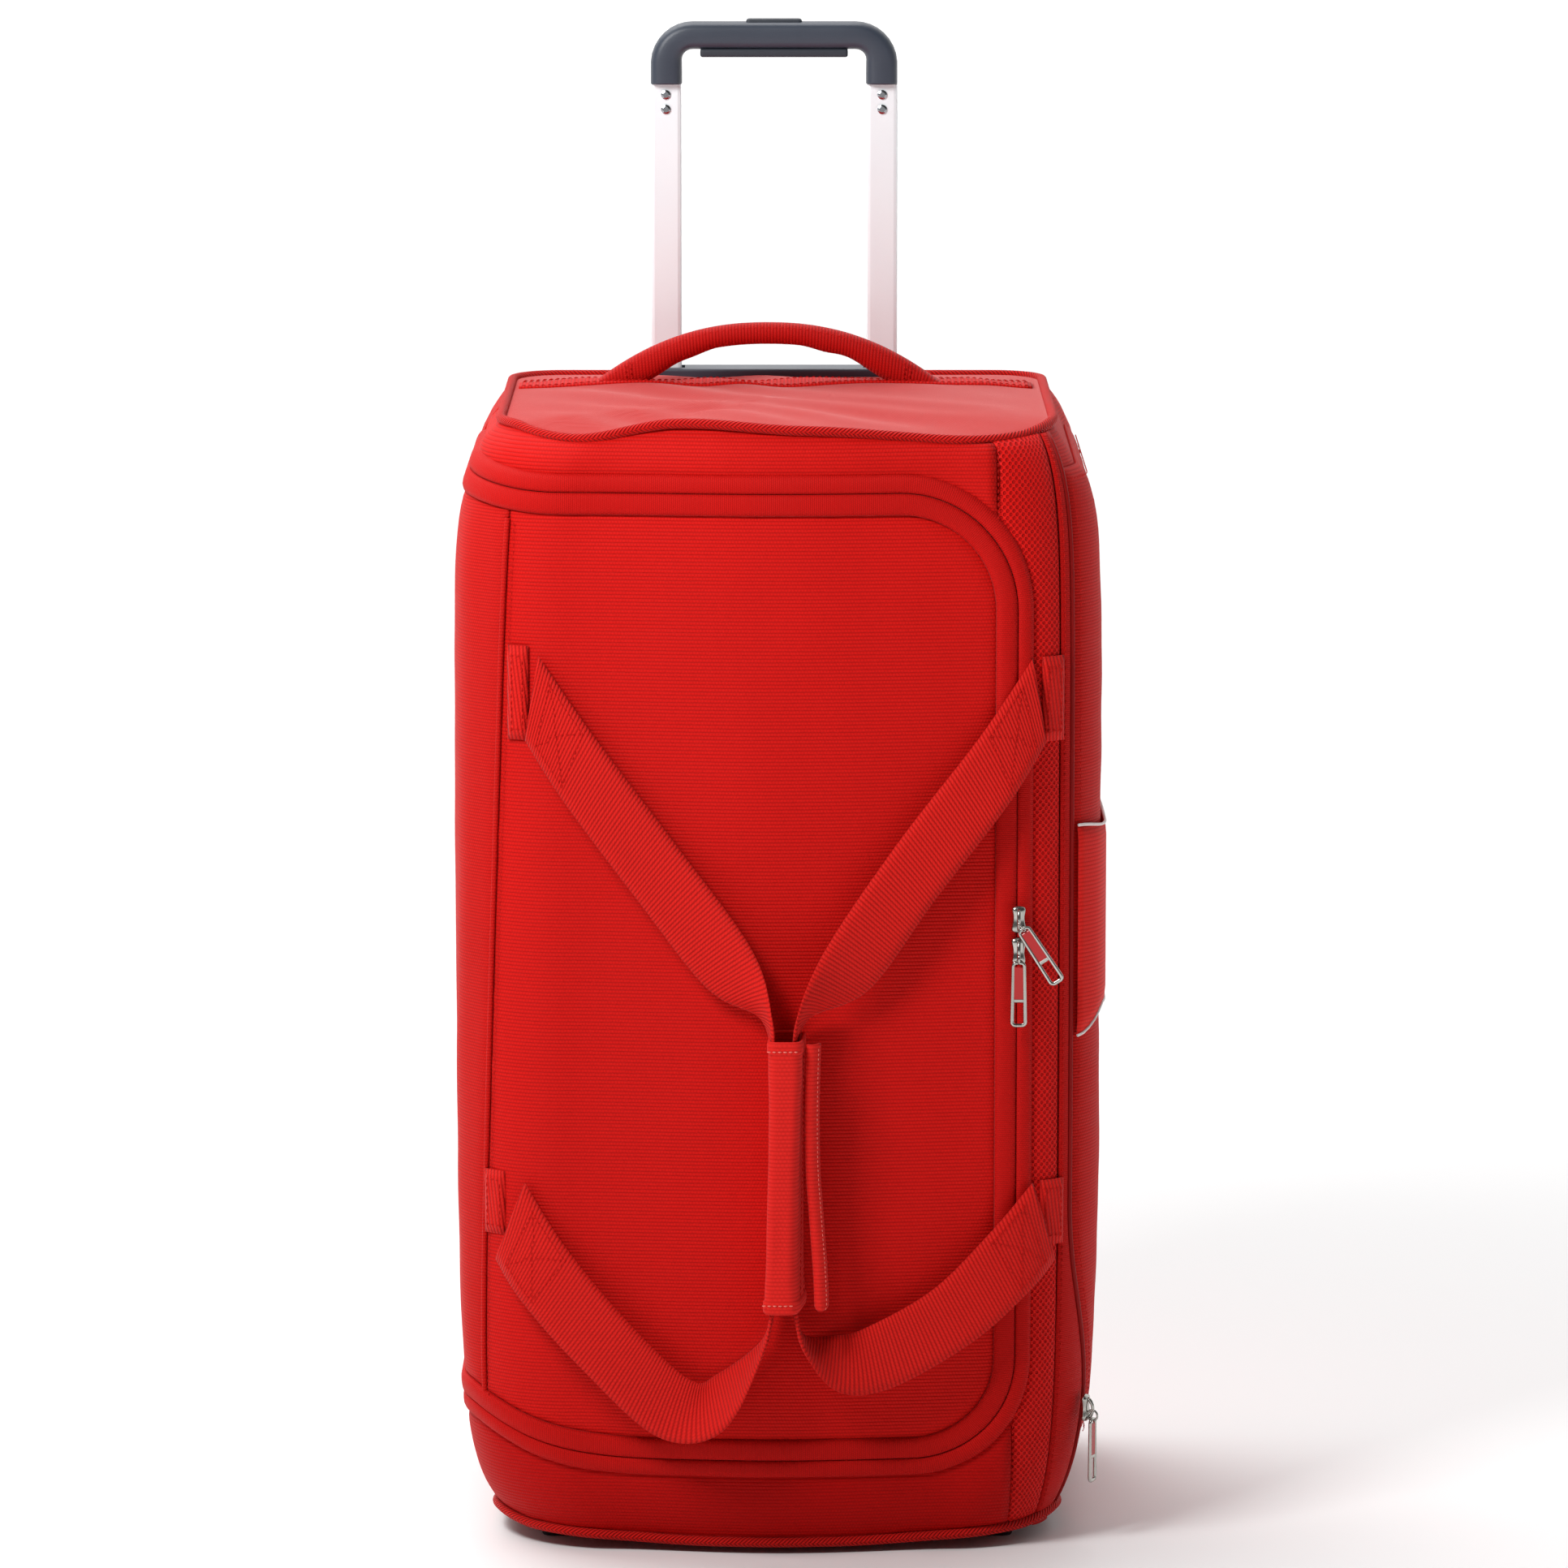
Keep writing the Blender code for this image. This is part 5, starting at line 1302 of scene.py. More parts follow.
def make_sliders():
    front = Vector((0, -1, 0))
    for name, node in (("zip_slider_upper", "main_zip_slider_upper"),
                       ("zip_slider_lower", "main_zip_slider_lower")):
        which = name.rsplit("_", 1)[1]
        way = Vector((0, 0, 1 if which == "upper" else -1))
        piece = slider(name, node, way, front)
        settle(piece, f"{which}_slider", "zip_metal", node)
    low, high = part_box("main_zip_pull_lower")
    x, y = (low.x + high.x) / 2, (low.y + high.y) / 2
    parts = pull_parts("lower_pull", Vector((x, y, high.z - 0.0035)), Vector((x, y, low.z)), front, 0.0100)
    parts.append(ring_link("lower_ring", Vector((x, y, high.z - 0.0022)), Vector((1, 0, 0)), 0.0032, 0.0007,
                           CHROME))
    settle(join("zip_pull_lower", parts), "lower_pull", "zip_metal", "main_zip_pull_lower")

    low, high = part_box("main_zip_pull_upper")
    lean = math.radians(33)
    way = Vector((math.sin(lean), 0, -math.cos(lean)))
    head = Vector((low.x + 0.0056, (low.y + high.y) / 2, high.z - 0.0042))
    parts = pull_parts("upper_pull", head, head + way * 0.0400, front, 0.0100)
    parts.append(ring_link("upper_ring", head - way * 0.0016, Vector((math.cos(lean), 0, math.sin(lean))),
                           0.0032, 0.0007, CHROME))
    settle(join("zip_pull_upper", parts), "upper_pull", "zip_metal", "main_zip_pull_upper")

    turn = math.radians(63)
    out = Vector((math.sin(turn), -math.cos(turn), 0))
    along = Vector((-0.0318, -0.0505, 0.9982)).normalized()
    settle(slider("pocket_slider_body", "pocket_zip_slider", along, out, sunk=POCKET_SUNK), "pocket_slider",
           "zip_metal", "pocket_zip_slider")
    low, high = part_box("pocket_zip_pull")
    x, y = (low.x + high.x) / 2 - POCKET_SUNK * out.x, (low.y + high.y) / 2 - POCKET_SUNK * out.y
    parts = pull_parts("pocket_pull", Vector((x, y, high.z - 0.0035)), Vector((x, y, low.z)), out, 0.0098)
    side = Vector((math.cos(turn), math.sin(turn), 0))
    parts.append(ring_link("pocket_ring", Vector((x, y, high.z - 0.0022)), side, 0.0032, 0.0007, CHROME))
    settle(join("pocket_pull_tab", parts), "pocket_pull", "zip_metal", "pocket_zip_pull")


# The carrying straps, from the upper seam through the wrap to the lower seam, as in the CAD: each
# station is the middle of the webbing and half of its width as a vector
LEFT_STATIONS = (
    ((-0.1455, -0.1505, 0.5235), (0.0040, 0.0020, 0.0250)),
    ((-0.1180, -0.1590, 0.4830), (0.0085, 0.0015, 0.0200)),
    ((-0.0720, -0.1650, 0.4220), (0.0110, 0.0000, 0.0172)),
    ((-0.0280, -0.1720, 0.3640), (0.0130, -0.0060, 0.0130)),
    ((-0.0060, -0.1780, 0.3350), (0.0030, -0.0162, 0.0030)),
    ((-0.0020, -0.1780, 0.3050), (0.0000, -0.0165, 0.0000)),
    ((-0.0020, -0.1780, 0.1700), (0.0000, -0.0165, 0.0000)),
    ((-0.0075, -0.1780, 0.1380), (-0.0010, -0.0165, -0.0020)),
    ((-0.0340, -0.1720, 0.1010), (0.0015, -0.0110, -0.0150)),
    ((-0.0620, -0.1660, 0.0960), (-0.0088, 0.0000, -0.0180)),
    ((-0.1050, -0.1640, 0.1360), (-0.0140, 0.0000, -0.0142)),
    ((-0.1400, -0.1560, 0.1760), (-0.0130, 0.0010, -0.0170)),
    ((-0.1600, -0.1450, 0.2060), (-0.0090, 0.0040, -0.0240)),
)
RIGHT_STATIONS = (
    ((0.1560, -0.1450, 0.5215), (-0.0040, 0.0020, 0.0250)),
    ((0.1290, -0.1560, 0.4810), (-0.0085, 0.0015, 0.0200)),
    ((0.0830, -0.1650, 0.4220), (-0.0110, 0.0000, 0.0172)),
    ((0.0420, -0.1720, 0.3640), (-0.0130, -0.0060, 0.0130)),
    ((0.0150, -0.1780, 0.3350), (-0.0030, -0.0150, 0.0030)),
    ((0.0100, -0.1780, 0.3050), (0.0000, -0.0155, 0.0000)),
    ((0.0100, -0.1780, 0.1700), (0.0000, -0.0155, 0.0000)),
    ((0.0150, -0.1780, 0.1400), (0.0010, -0.0155, -0.0020)),
    ((0.0350, -0.1720, 0.1250), (0.0010, -0.0110, -0.0145)),
    ((0.0600, -0.1680, 0.1270), (0.0070, 0.0000, -0.0187)),
    ((0.1050, -0.1640, 0.1520), (0.0116, 0.0000, -0.0163)),
    ((0.1400, -0.1560, 0.1840), (0.0115, 0.0010, -0.0185)),
    ((0.1600, -0.1450, 0.2060), (0.0070, 0.0030, -0.0240)),
)
UPPER_RUN = slice(0, 6)  # the stations from the upper seam down into the wrap
LOWER_RUN = slice(12, 5, -1)  # the stations from the lower seam up into the wrap


def strap(name, stations, count=110, thick=0.0024, across=9):
    """Webbing through stations, with rounded selvedges. Returns the piece, its middle line and its edges."""
    middle_line = curve([middle for middle, _ in stations])
    halves = curve([half for _, half in stations])
    edges = [[m + h for m, h in zip(middle_line, halves)], [m - h for m, h in zip(middle_line, halves)]]
    _, first, second = evenly([middle_line] + edges, count)
    rings = []
    flat = []
    travelled = 0.0
    middles = []
    for i in range(count):
        a, b = first[i], second[i]
        middle = (a + b) / 2
        if i:
            travelled += (middle - middles[-1][0]).length
        ahead = (first[min(i + 1, count - 1)] + second[min(i + 1, count - 1)]) / 2
        behind = (first[max(i - 1, 0)] + second[max(i - 1, 0)]) / 2
        along = (ahead - behind).normalized()
        cross = b - a
        width = cross.length
        cross = (cross - along * cross.dot(along)).normalized()
        normal = along.cross(cross).normalized()
        if i == 0:
            outward = -1 if normal.y > 0 else 1
        normal = normal * outward
        middles.append((middle, normal))
        ring = []
        places = []
        for side in (1, -1):
            for k in range(across):
                share = k / (across - 1) if side > 0 else 1 - k / (across - 1)
                rim = min(share, 1 - share) * width
                lift = thick / 2 * math.sqrt(max(1 - (1 - min(rim / 0.0014, 1.0)) ** 2, 0.06))
                ring.append(a.lerp(b, share) + normal * side * lift)
                places.append((share * WEBBING, travelled))
        rings.append(ring)
        flat.append(places + [places[0]])
    obj = tidy(skin(name, rings, flat, WEB, closed=True), fill=True)
    return obj, middles, (first, second)


def box_stitch(edges, middles, start, size, name):
    """A stitched box with a cross where a strap is sewn down, from start rows in."""
    first, second = edges
    lines = []

    def point(row, share):
        row = min(max(int(round(row)), 0), len(first) - 1)
        return first[row].lerp(second[row], share) + middles[row][1] * 0.0013, middles[row][1]

    def run(a, b, count=14):
        return [point(a[0] + (b[0] - a[0]) * i / count, a[1] + (b[1] - a[1]) * i / count)
                for i in range(count + 1)]

    corners = [(start, 0.12), (start, 0.88), (start + size, 0.88), (start + size, 0.12)]
    for a, b in zip(corners, corners[1:] + corners[:1]):
        lines.append(run(a, b))
    lines.append(run(corners[0], corners[2]))
    lines.append(run(corners[1], corners[3]))
    return stitches(name, lines, THREAD, length=0.0022, radius=0.0004)


def make_straps():
    left_bend = ((-0.158, -0.145, 0.35), (-0.118, -0.158, 0.35))
    right_bend = ((0.163, -0.141, 0.35), (0.123, -0.156, 0.35))
    runs = (
        ("left_strap_upper", LEFT_STATIONS[UPPER_RUN], "flap", "left_handle", left_bend, "left_carry_strap"),
        ("left_strap_lower", LEFT_STATIONS[LOWER_RUN], "flap", "left_handle", left_bend, None),
        ("right_strap_upper", RIGHT_STATIONS[UPPER_RUN], "root", "right_handle", right_bend,
         "right_carry_strap"),
        ("right_strap_lower", RIGHT_STATIONS[LOWER_RUN], "root", "right_handle", right_bend, None),
    )
    for name, stations, near, far, bend, node in runs:
        piece, middles, lines = strap(name, stations)
        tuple(bend[0])
        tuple(bend[1])
        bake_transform(piece)
        if node:
            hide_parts(node)
        length = sum((b[0] - a[0]).length for a, b in zip(middles, middles[1:]))
        rows = len(middles)
        box = box_stitch(lines, middles, 0.045 * rows, 0.115 * rows, f"{name}_box_stitches")
        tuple(bend[0])
        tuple(bend[1])
        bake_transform(box)
    for node, name, body in (("handle_patch_left_upper", "anchor_left_upper", "flap"),
                             ("handle_patch_left_lower", "anchor_left_lower", "flap"),
                             ("handle_patch_right_upper", "anchor_right_upper", "root"),
                             ("handle_patch_right_lower", "anchor_right_lower", "root")):
        make_anchor(node, name, body)


def make_anchor(node, name, body):
    """The sewn-down patch of webbing under a strap's end."""
    low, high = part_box(node)
    sign = -1 if low.x < 0 else 1
    near, far = sorted((abs(low.x), abs(high.x)))
    inner = FRONT_END + FRONT_RADIUS * math.asin((near - FRONT_END) / FRONT_RADIUS)
    outer = FRONT_END + FRONT_RADIUS * math.asin((far + 0.0008 - FRONT_END) / FRONT_RADIUS)
    rows = spread(low.z, high.z, 0.006)
    columns = spread(sign * inner, sign * outer, 0.003)
    if sign < 0:
        columns = columns[::-1]
    flat = [[(s, z) for s in columns] for z in rows]
    last_row, last_column = len(rows) - 1, len(columns) - 1
    points = []
    for r, line in enumerate(flat):
        row = []
        for c, (s, z) in enumerate(line):
            rim = r in (0, last_row) or c in (0, last_column)
            row.append(wall(s, z, 0.0022 if rim else 0.0036))
        points.append(row)
    patch = skin(name, points, [[(z, s) for s, z in line] for line in flat], WEB, 0.0014, WEB)
    settle(patch, body, "strap_webbing", node, held="laid",
           rests_on=["flap_front_cloth" if body == "flap" else "mesh_strip"])
    lines = []
    for s in (columns[1], columns[-2]):
        lines.append([(wall(s, z, 0.0037), facing(s, z)) for z in rows[1:-1]])
    for z in (rows[1], rows[-2]):
        lines.append([(wall(s, z, 0.0037), facing(s, z)) for s in columns[1:-1]])
    settle(stitches(f"{name}_stitches", lines, THREAD), body, None)


# The wrap that holds both straps together


WRAP_LOW, WRAP_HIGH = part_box("grip_wrap")[0].z + 0.0040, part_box("grip_wrap")[1].z + 0.0030
WRAP_FRONT, WRAP_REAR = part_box("grip_wrap")[0].y + 0.0010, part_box("grip_wrap")[1].y
WRAP_TURN = (0.06, 0.15)  # how far the wrap's right face is turned to the front, at its top and foot
WRAP_HEM = 0.0074
WRAP_ROUND = 0.11  # the cloth once round the straps
WRAP_HALF = 0.0104
WRAP_SQUARE = 0.42  # the power that makes the wrap's section a rounded oblong
WRAP_FOLD = 0.0008  # how closely the cloth turns in at its two ends
WRAP_MIDDLE, WRAP_LEAN = 0.0045, 0.0030
WRAP_STITCHING = 0.0058  # from the wrap's ends to their rows of stitches
TAB_LEFT, TAB_WIDTH = 0.0176, 0.0088


def wrap_middle(z):
    """The wrap leans a little to the left towards its foot."""
    return WRAP_MIDDLE - WRAP_LEAN * smoothstep(WRAP_HIGH, WRAP_LOW, z)


def wrap_turn(z):
    return WRAP_TURN[0] + (WRAP_TURN[1] - WRAP_TURN[0]) * smoothstep(WRAP_HIGH, WRAP_LOW, z)


def make_wrap():
    rings = []
    flat = []
    around = 56
    z_values = heights(WRAP_LOW, WRAP_HIGH, 44)
    for step in (WRAP_HEM - 0.0005, WRAP_HEM + 0.0005):
        z_values += [WRAP_LOW + step, WRAP_HIGH - step]
    z_values.sort()
    for z in z_values:
        middle = wrap_middle(z)
        edge = min(z - WRAP_LOW, WRAP_HIGH - z)
        hem = smoothstep(WRAP_HEM + 0.0005, WRAP_HEM - 0.0005, edge)
        slack = smoothstep(WRAP_HEM, 0.045, edge)
        soft = 0.0006 * ripple(z, 1.0, 0.03, 3.0)
        half_x = WRAP_HALF - 0.0010 * slack + 0.0009 * hem + soft
        half_x -= 0.0010 * math.exp(-edge / WRAP_FOLD)
        front, rear = WRAP_FRONT - 0.0005 * hem, WRAP_REAR
        half_y = (rear - front) / 2 - 0.0010 * math.exp(-edge / WRAP_FOLD)
        ring = []
        places = []
        for k in range(around):
            a = 2 * math.pi * k / around
            c, w = math.cos(a), math.sin(a)
            c = squared_off(c, WRAP_SQUARE)
            w = squared_off(w, WRAP_SQUARE)
            y = (front + rear) / 2 + half_y * w
            crease = 0.0011 * slack * math.exp(-((half_x * c - 0.0040
                                                  + 0.0050 * (WRAP_HIGH - z) / 0.165) / 0.0011) ** 2)
            ring.append(Vector((middle + half_x * c + wrap_turn(z) * (y - front),
                                y + (crease if w < 0 else 0.0), z)))
            places.append((WRAP_ROUND * k / around, z))
        rings.append(ring)
        flat.append(places + [(WRAP_ROUND, z)])
    wrap = skin("carry_wrap", rings, flat, WRAP, 0.0018, WRAP, closed=True)
    settle(wrap, "left_handle", "shell_fabric", "grip_wrap", held="folded",
           size=(WRAP_ROUND, WRAP_HIGH - WRAP_LOW, WRAP_ROUND * (WRAP_HIGH - WRAP_LOW) * 0.93))
    lines = []
    for z in (WRAP_LOW + WRAP_STITCHING, WRAP_HIGH - WRAP_STITCHING):
        middle = wrap_middle(z)
        y = WRAP_FRONT - 0.0008
        lines.append([(Vector((middle - 0.0092 + 0.0018 * i, y + 0.0001 * abs(i - 5), z)),
                       Vector((0, -1, 0))) for i in range(11)])
    settle(stitches("wrap_hem_stitches", lines, THREAD_PALE, length=0.0022, gap=0.0010, radius=0.00045),
           "left_handle", None)
    side = []
    for k in range(2):
        side.append([(Vector((wrap_middle(z) + 0.0106 + wrap_turn(z) * (0.012 + 0.014 * k),
                              -0.1865 + 0.014 * k, z)), Vector((1, -0.2, 0)))
                     for z in spread(WRAP_LOW + 0.006, WRAP_HIGH - 0.006, 0.006)])
    settle(stitches("wrap_side_stitches", side, THREAD), "left_handle", None)

    flat = []
    points = []
    for z in heights(WRAP_LOW + 0.0005, WRAP_HIGH - 0.003, 40):
        t = (WRAP_HIGH - z) / (WRAP_HIGH - WRAP_LOW)
        bowed = 0.0010 * math.sin(math.pi * min(t / 0.6, 1.0))
        left = TAB_LEFT - bowed + 0.0046 * smoothstep(0.45, 1.0, t)
        right = left + TAB_WIDTH
        depth = max(1 - (z - WRAP_LOW) / 0.0044, 0.0)
        round_foot = 0.0038 * (1 - math.sqrt(max(1 - depth * depth, 0.0)))
        line = []
        row = []
        for k in range(7):
            share = k / 6
            x = left + round_foot + (right - left - 2 * round_foot) * share
            y = -0.1890 - 0.0030 * math.sin(math.pi * share) + 0.004 * share
            line.append(((right - left) * 1.35 * share, z))
            row.append(Vector((x, y, z)))
        flat.append(line)
        points.append(row)
    tab = skin("wrap_closing_tab", points, flat, WRAP, 0.0016, WRAP)
    tall = WRAP_HIGH - WRAP_LOW
    settle(tab, "left_handle", "shell_fabric", held="folded", rests_on=["carry_wrap"],
           size=(0.0105, tall, 0.0105 * tall * 0.95))
    line = [(row[5] + Vector((0, -0.0004, 0)), Vector((0.2, -1, 0))) for row in points[1:-1]]
    settle(stitches("wrap_tab_stitches", [line], THREAD_PALE, length=0.0016, gap=0.0012, radius=0.00028),
           "left_handle", None)


# The grab handle on top


HANDLE_RISE = 0.0395  # from the handle's ends to its crown
HANDLE_ARCH = 2.25  # the power that shapes the arch
HANDLE_REACH = 0.0045  # how far the sewn ends run out beyond the CAD handle
HANDLE_END, HANDLE_PAD = 0.0030, 0.0104  # how tall the ends are, and what the padding adds
HANDLE_DEEP = 0.0100  # half of the handle's width
HANDLE_AROUND = 20


def make_grab_handle():
    low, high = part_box("top_grab_handle")
    y = (low.y + high.y) / 2
    middle_x = (low.x + high.x) / 2
    half_span = (high.x - low.x) / 2 + HANDLE_REACH
    crown = high.z - 0.0012
    upper, lower = [], []
    count = 72
    for i in range(count):
        share = 2 * i / (count - 1) - 1
        away = abs(share)
        top = crown - HANDLE_RISE * away ** HANDLE_ARCH
        slim = smoothstep(1.0, 0.80, away)
        pad = HANDLE_END + slim * (HANDLE_PAD + 0.0060 * ease_bell(away, 0.68, 0.30))
        pad += 0.0018 * (ease_bell(share, -0.42, 0.13) + ease_bell(share, 0.34, 0.16))
        upper.append(Vector((middle_x + half_span * share, y, top)))
        lower.append(Vector((middle_x + (half_span - 0.003) * share, y, top - pad)))
    rings = []
    flat = []
    seams = ([], [])
    for i in range(count):
        a, b = upper[i], lower[i]
        middle = (a + b) / 2
        half = max((a - b).length / 2, 0.0012)
        lift = (a - b).normalized()
        ends = min(i, count - 1 - i) / (count - 1)
        deep = HANDLE_DEEP * (0.82 + 0.18 * smoothstep(0.0, 0.2, ends))
        ring = []
        for k in range(HANDLE_AROUND):
            angle = 2 * math.pi * k / HANDLE_AROUND
            c, w = math.cos(angle), math.sin(angle)
            c = squared_off(c, 0.75)
            ring.append(middle + Vector((0, 1, 0)) * deep * c + lift * half * w)
        rings.append(ring)
        flat.append([(k * 0.0030, i * 0.0031) for k in range(HANDLE_AROUND + 1)])
        seams[0].append((middle + Vector((0, -deep * 0.80, 0)) + lift * half * 0.62, Vector((0, -0.7, 0.7))))
        seams[1].append((middle + Vector((0, -deep * 0.80, 0)) - lift * half * 0.62, Vector((0, -0.7, -0.7))))
    handle = tidy(skin("grab_handle_pad", rings, flat, HANDLE, closed=True), fill=True)
    settle(handle, "grab_handle", "strap_webbing", "top_grab_handle")
    settle(stitches("grab_handle_stitches", [seams[0][4:-4], seams[1][8:-8]], THREAD), "grab_handle", None)
    lines = []
    for x in (-0.0925, -0.0895, 0.0785, 0.0815):
        row = min(range(count), key=lambda i: abs((upper[i].x + lower[i].x) / 2 - x))
        a, b = upper[row], lower[row]
        lines.append([(a.lerp(b, share) + Vector((0, -0.0100, 0)), Vector((0, -1, 0)))
                      for share in spread(0.12, 0.88, 0.1)])
    settle(stitches("grab_handle_end_stitches", lines, THREAD, length=0.0018), "grab_handle", None)


# Trolley, wheels and feet


def bar_along(name, path, half_a, half_b, material, up, power=0.5, sides=24):
    """A bar with a softly squared section along a path. half_a is across, half_b along up."""
    rings = []
    flat = []
    last = len(path) - 1
    for i, point in enumerate(path):
        along = (path[min(i + 1, last)] - path[max(i - 1, 0)]).normalized()
        across = along.cross(Vector(up)).normalized()
        lift = across.cross(along).normalized()
        ring = []
        for k in range(sides):
            angle = 2 * math.pi * k / sides
            c, w = math.cos(angle), math.sin(angle)
            c = math.copysign(abs(c) ** power, c)
            w = math.copysign(abs(w) ** power, w)
            ring.append(point + across * half_a * c + lift * half_b * w)
        rings.append(ring)
        flat.append([(k * 0.003, i * 0.003) for k in range(sides + 1)])
    return tidy(skin(name, rings, flat, material, closed=True), fill=True)


def make_grip():
    low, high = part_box("trolley_grip")
    y = (low.y + high.y) / 2
    bar_top, bar_foot = high.z, 0.8875
    half_bar = (bar_top - bar_foot) / 2
    half_leg = 0.0098
    radius = 0.0165
    left, right = low.x + half_leg, high.x - half_leg
    top = bar_top - half_bar
    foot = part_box("grip_rivet_upper_left")[1].z + 0.0037
    path = [Vector((left, y, foot + d)) for d in (0.0, 0.0004, 0.0014, 0.0040, 0.0070)]
    for k in range(9):
        a = math.radians(180 - 11.25 * k)
        path.append(Vector((left + radius + radius * math.cos(a), y, top - radius + radius * math.sin(a))))
    path += [Vector((x, y, top)) for x in spread(left + radius + 0.01, right - radius - 0.01, 0.012)]
    for k in range(9):
        a = math.radians(90 - 11.25 * k)
        path.append(Vector((right - radius + radius * math.cos(a), y, top - radius + radius * math.sin(a))))
    path += [Vector((right, y, foot + d)) for d in (0.0070, 0.0040, 0.0014, 0.0004, 0.0)]
    rings = []
    flat = []
    last = len(path) - 1
    sides = 28
    for i, point in enumerate(path):
        along = (path[min(i + 1, last)] - path[max(i - 1, 0)]).normalized()
        across = Vector((0, 1, 0)).cross(along).normalized()
        flatness = abs(along.x)
        half = half_leg + (half_bar - half_leg) * flatness
        tip = 0.93 if i in (0, last) else 1.0
        deep = 0.0120 * tip
        ring = []
        for k in range(sides):
            angle = 2 * math.pi * k / sides
            c, w = math.cos(angle), math.sin(angle)
            c = squared_off(c, 0.55)
            w = squared_off(w, 0.55)
            ring.append(point + across * half * tip * c + Vector((0, 1, 0)) * deep * w)
        rings.append(ring)
        flat.append([(k * 0.003, i * 0.003) for k in range(sides + 1)])
    grip = tidy(skin("grip_moulding", rings, flat, SLATE, closed=True), fill=True)
    settle(grip, "trolley_upper_stage", "grip_plastic", "trolley_grip")
    low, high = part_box("trolley_grip_insert")
    pad = rounded_box("grip_underside_pad", low - Vector((0, 0.001, 0.0012)),
                      high + Vector((0, 0.001, 0.0008)), 0.0018, SOFT_GREY)
    settle(pad, "trolley_upper_stage", "grip_soft_insert", "trolley_grip_insert")
    low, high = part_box("trolley_release_button")
    button = rounded_box("release_button_cap", low, high, 0.0024, SOFT_GREY)
    settle(button, "release_button", "grip_plastic", "trolley_release_button")


def lathe(name, profile, centre, axis_x, material, sides=64, tread=0.0, treads=32):
    """A wheel part turned about the X axis from a profile of (x, radius). Its tread is cut in by waves."""
    rings = []
    flat = []
    for i in range(sides + 1):
        a = 2 * math.pi * i / sides
        ring = []
        for x, radius in profile:
            size = radius - (tread if math.sin(treads * a) > 0.2 and radius > profile[0][1] * 1.05 else 0.0)
            ring.append(centre + Vector((axis_x * x, size * math.cos(a), size * math.sin(a))))
        rings.append(ring)
        flat.append([(k * 0.003, 0.2 * i / sides) for k in range(len(profile) + 1)])
    return tidy(skin(name, rings, flat, material, closed=True))


def make_wheel(side):
    low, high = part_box(f"tyre_{side}")
    centre = (low + high) / 2
    radius = (high.z - low.z) / 2
    half = (high.x - low.x) / 2
    tyre = lathe(f"tyre_rubber_{side}", (
        (-half * 0.80, 0.0224), (-half * 0.98, 0.0240), (-half, 0.0270), (-half * 0.90, radius * 0.955),
        (-half * 0.62, radius * 0.99), (-half * 0.10, radius), (-half * 0.07, radius * 0.955),
        (half * 0.07, radius * 0.955),
        (half * 0.10, radius), (half * 0.62, radius * 0.99), (half * 0.90, radius * 0.955), (half, 0.0270),
        (half * 0.98, 0.0240), (half * 0.80, 0.0224)), centre, 1, TYRE)
    settle(tyre, f"wheel_{side}", "tyre_rubber", f"tyre_{side}")
    rim = lathe(f"hub_rim_{side}",
                ((-0.0092, 0.0196), (-0.0096, 0.0206), (-0.0088, 0.0222), (0.0088, 0.0222), (0.0096, 0.0206),
                                    (0.0092, 0.0196)), centre, 1, SLATE)
    boss = lathe(f"hub_boss_{side}",
                 ((-0.0092, 0.0034), (-0.0098, 0.0042), (-0.0098, 0.0066), (-0.0088, 0.0076),
                                      (0.0088, 0.0076), (0.0098, 0.0066), (0.0098, 0.0042),
                                      (0.0092, 0.0034)), centre, 1, SLATE)
    parts = [rim, boss]
    for k in range(6):
        a = math.radians(60 * k + 12)
        way = Vector((0, math.cos(a), math.sin(a)))
        path = [centre + way * r for r in spread(0.0068, 0.0204, 0.0034)]
        parts.append(bar_along(f"spoke_{side}_{k}", path, 0.0022, 0.0070, SLATE, (1, 0, 0)))
    settle(join(f"hub_spoked_{side}", parts), f"wheel_{side}", "wheel_plastic", f"wheel_hub_{side}")


def paint_frame():
    """Finishes for the CAD parts that are hard and stay in view."""
    looks = {
        "trolley_outer_tube": ALUMINIUM, "trolley_middle_tube": ALUMINIUM, "trolley_inner_tube": ALUMINIUM,
        "grip_rivet": STEEL, "wheel_axle": STEEL, "trolley_bezel": SLATE, "trolley_foot_bracket": BLACK,
        "wheel_housing": BLACK, "front_foot": BLACK, "back_stiffener_board": BOARD, "base_board": BOARD,
    }
    for name, node in NODES.items():
        for prefix, material in looks.items():
            if name.startswith(prefix):
                node.data.materials.clear()
                node.data.materials.append(material)


# Studio


FRONT_WORLD = 0.08
BACK_WORLD = 1.2
KEY_POWER = 22
SUN_POWER = 1.9


def area_light(name, place, target, size, power, colour=(1, 1, 1)):
    light = bpy.data.lights.new(name, "AREA")
    light.shape = "RECTANGLE"
    light.size, light.size_y = size
    light.energy = power
    light.color = colour
    obj = bpy.data.objects.new(name, light)
    bpy.context.scene.collection.objects.link(obj)
    obj.location = place
    obj.rotation_euler = (Vector(target) - Vector(place)).to_track_quat("-Z", "Y").to_euler()
    obj.visible_camera = False
    return obj


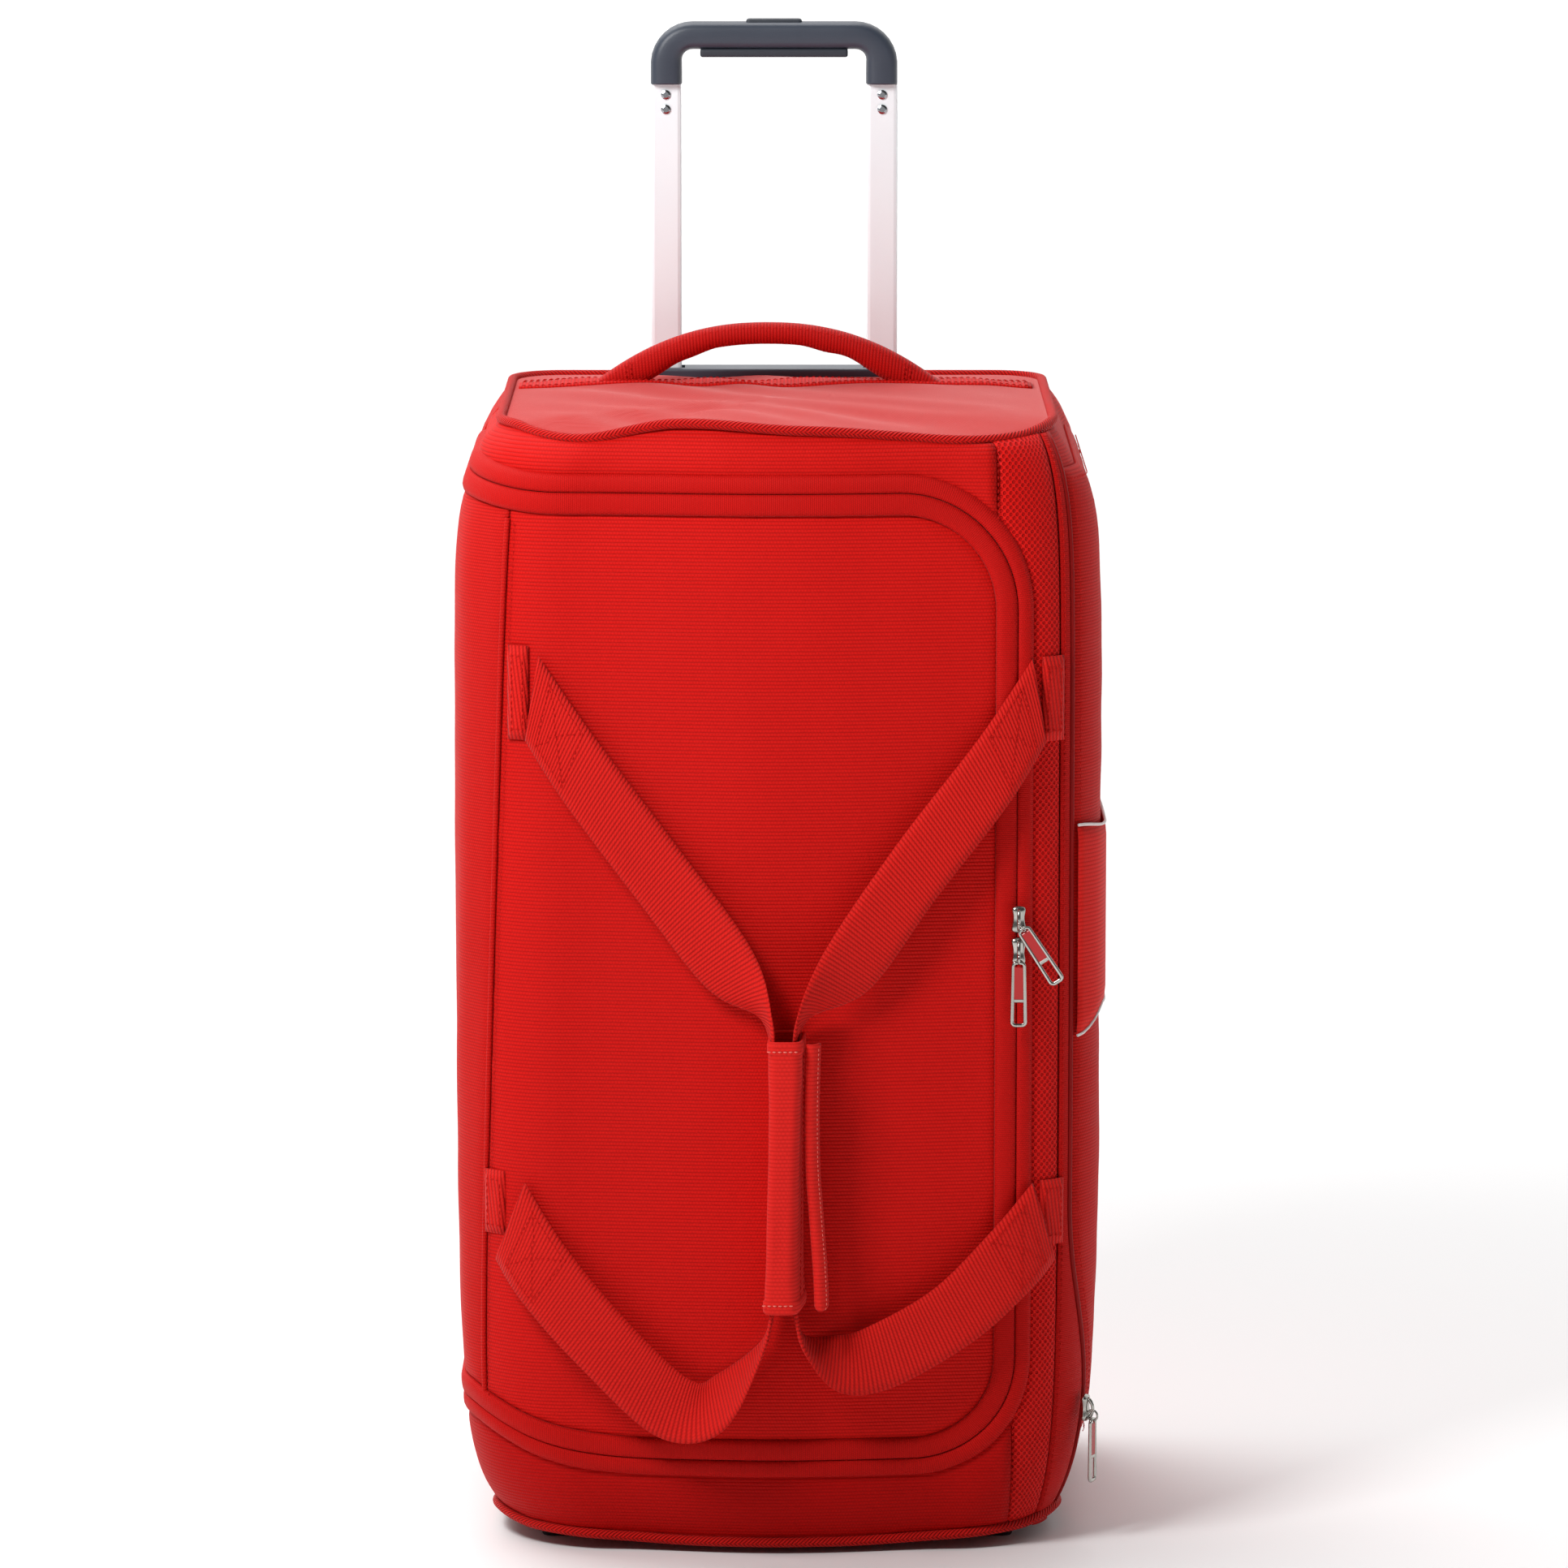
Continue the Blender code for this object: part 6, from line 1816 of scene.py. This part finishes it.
def make_studio():
    floor_mesh = bpy.data.meshes.new("floor")
    floor_mesh.from_pydata([(-12, -12, 0), (12, -12, 0), (12, 12, 0), (-12, 12, 0)], [], [(0, 1, 2, 3)])
    # Painted shade: the floor paper is coloured grey round the bag, darkest within half a metre and white
    # beyond two metres, with faint mottling.
    paint = Paint("floor_paper", 0.9)
    coordinates = paint.node("ShaderNodeTexCoord")
    distance = paint.node("ShaderNodeVectorMath", operation="LENGTH")
    paint.put(distance.inputs[0], coordinates.outputs["Object"])
    ramp = paint.node("ShaderNodeMapRange", interpolation_type="SMOOTHSTEP")
    paint.put(ramp.inputs[0], distance.outputs["Value"])
    ramp.inputs[1].default_value = 0.5
    ramp.inputs[2].default_value = 2.0
    share = paint.math("MULTIPLY", ramp.outputs[0], paint.between(paint.noise(0.4, 2.0), 0.97, 1.0))
    paint.colour(paint.mix(share, (0.86, 0.86, 0.86, 1.0), (0.99, 0.99, 0.99, 1.0)))
    floor = link("floor", floor_mesh, paint.material)
    world = bpy.data.worlds.new("studio")
    world.use_nodes = True
    nodes, links = world.node_tree.nodes, world.node_tree.links
    place = nodes.new("ShaderNodeTexCoord")
    parts = nodes.new("ShaderNodeSeparateXYZ")
    ramp = nodes.new("ShaderNodeMapRange")
    links.new(place.outputs["Generated"], parts.inputs[0])
    links.new(parts.outputs[1], ramp.inputs[0])
    nodes["Background"].inputs[0].default_value = (1.0, 1.0, 1.0, 1.0)
    for index, value in zip((1, 2, 3, 4), (-0.3, 0.7, FRONT_WORLD, BACK_WORLD)):
        ramp.inputs[index].default_value = value
    links.new(ramp.outputs[0], nodes["Background"].inputs[1])
    bpy.context.scene.world = world
    area_light("key", (-0.78, -1.00, 1.56), (0, 0, 0.50), (0.50, 0.50), KEY_POWER)
    sun = bpy.data.lights.new("high_back", "SUN")
    sun.energy = SUN_POWER
    sun.angle = math.radians(55)
    high = bpy.data.objects.new("high_back", sun)
    bpy.context.scene.collection.objects.link(high)
    high.rotation_euler = Vector((-0.30, 0.40, 0.87)).to_track_quat("Z", "Y").to_euler()
    bpy.context.scene.view_settings.view_transform = "Standard"


def make_camera():
    data = bpy.data.cameras.new("camera")
    data.lens = 189.68
    data.sensor_width = 36.0
    camera = bpy.data.objects.new("camera", data)
    bpy.context.scene.collection.objects.link(camera)
    camera.location = (0.0042, -5.0, 1.2246)
    camera.rotation_euler = (math.radians(90 - 8.82), 0, 0)
    bpy.context.scene.camera = camera


make_flap()
make_bands()
make_right_front()
make_right_side()
make_left_side()
make_back()
make_ends()
make_piping()
make_zip()
make_sliders()
make_wrap()
make_straps()
make_grab_handle()
make_grip()
make_wheel("left")
make_wheel("right")
paint_frame()
make_studio()
make_camera()
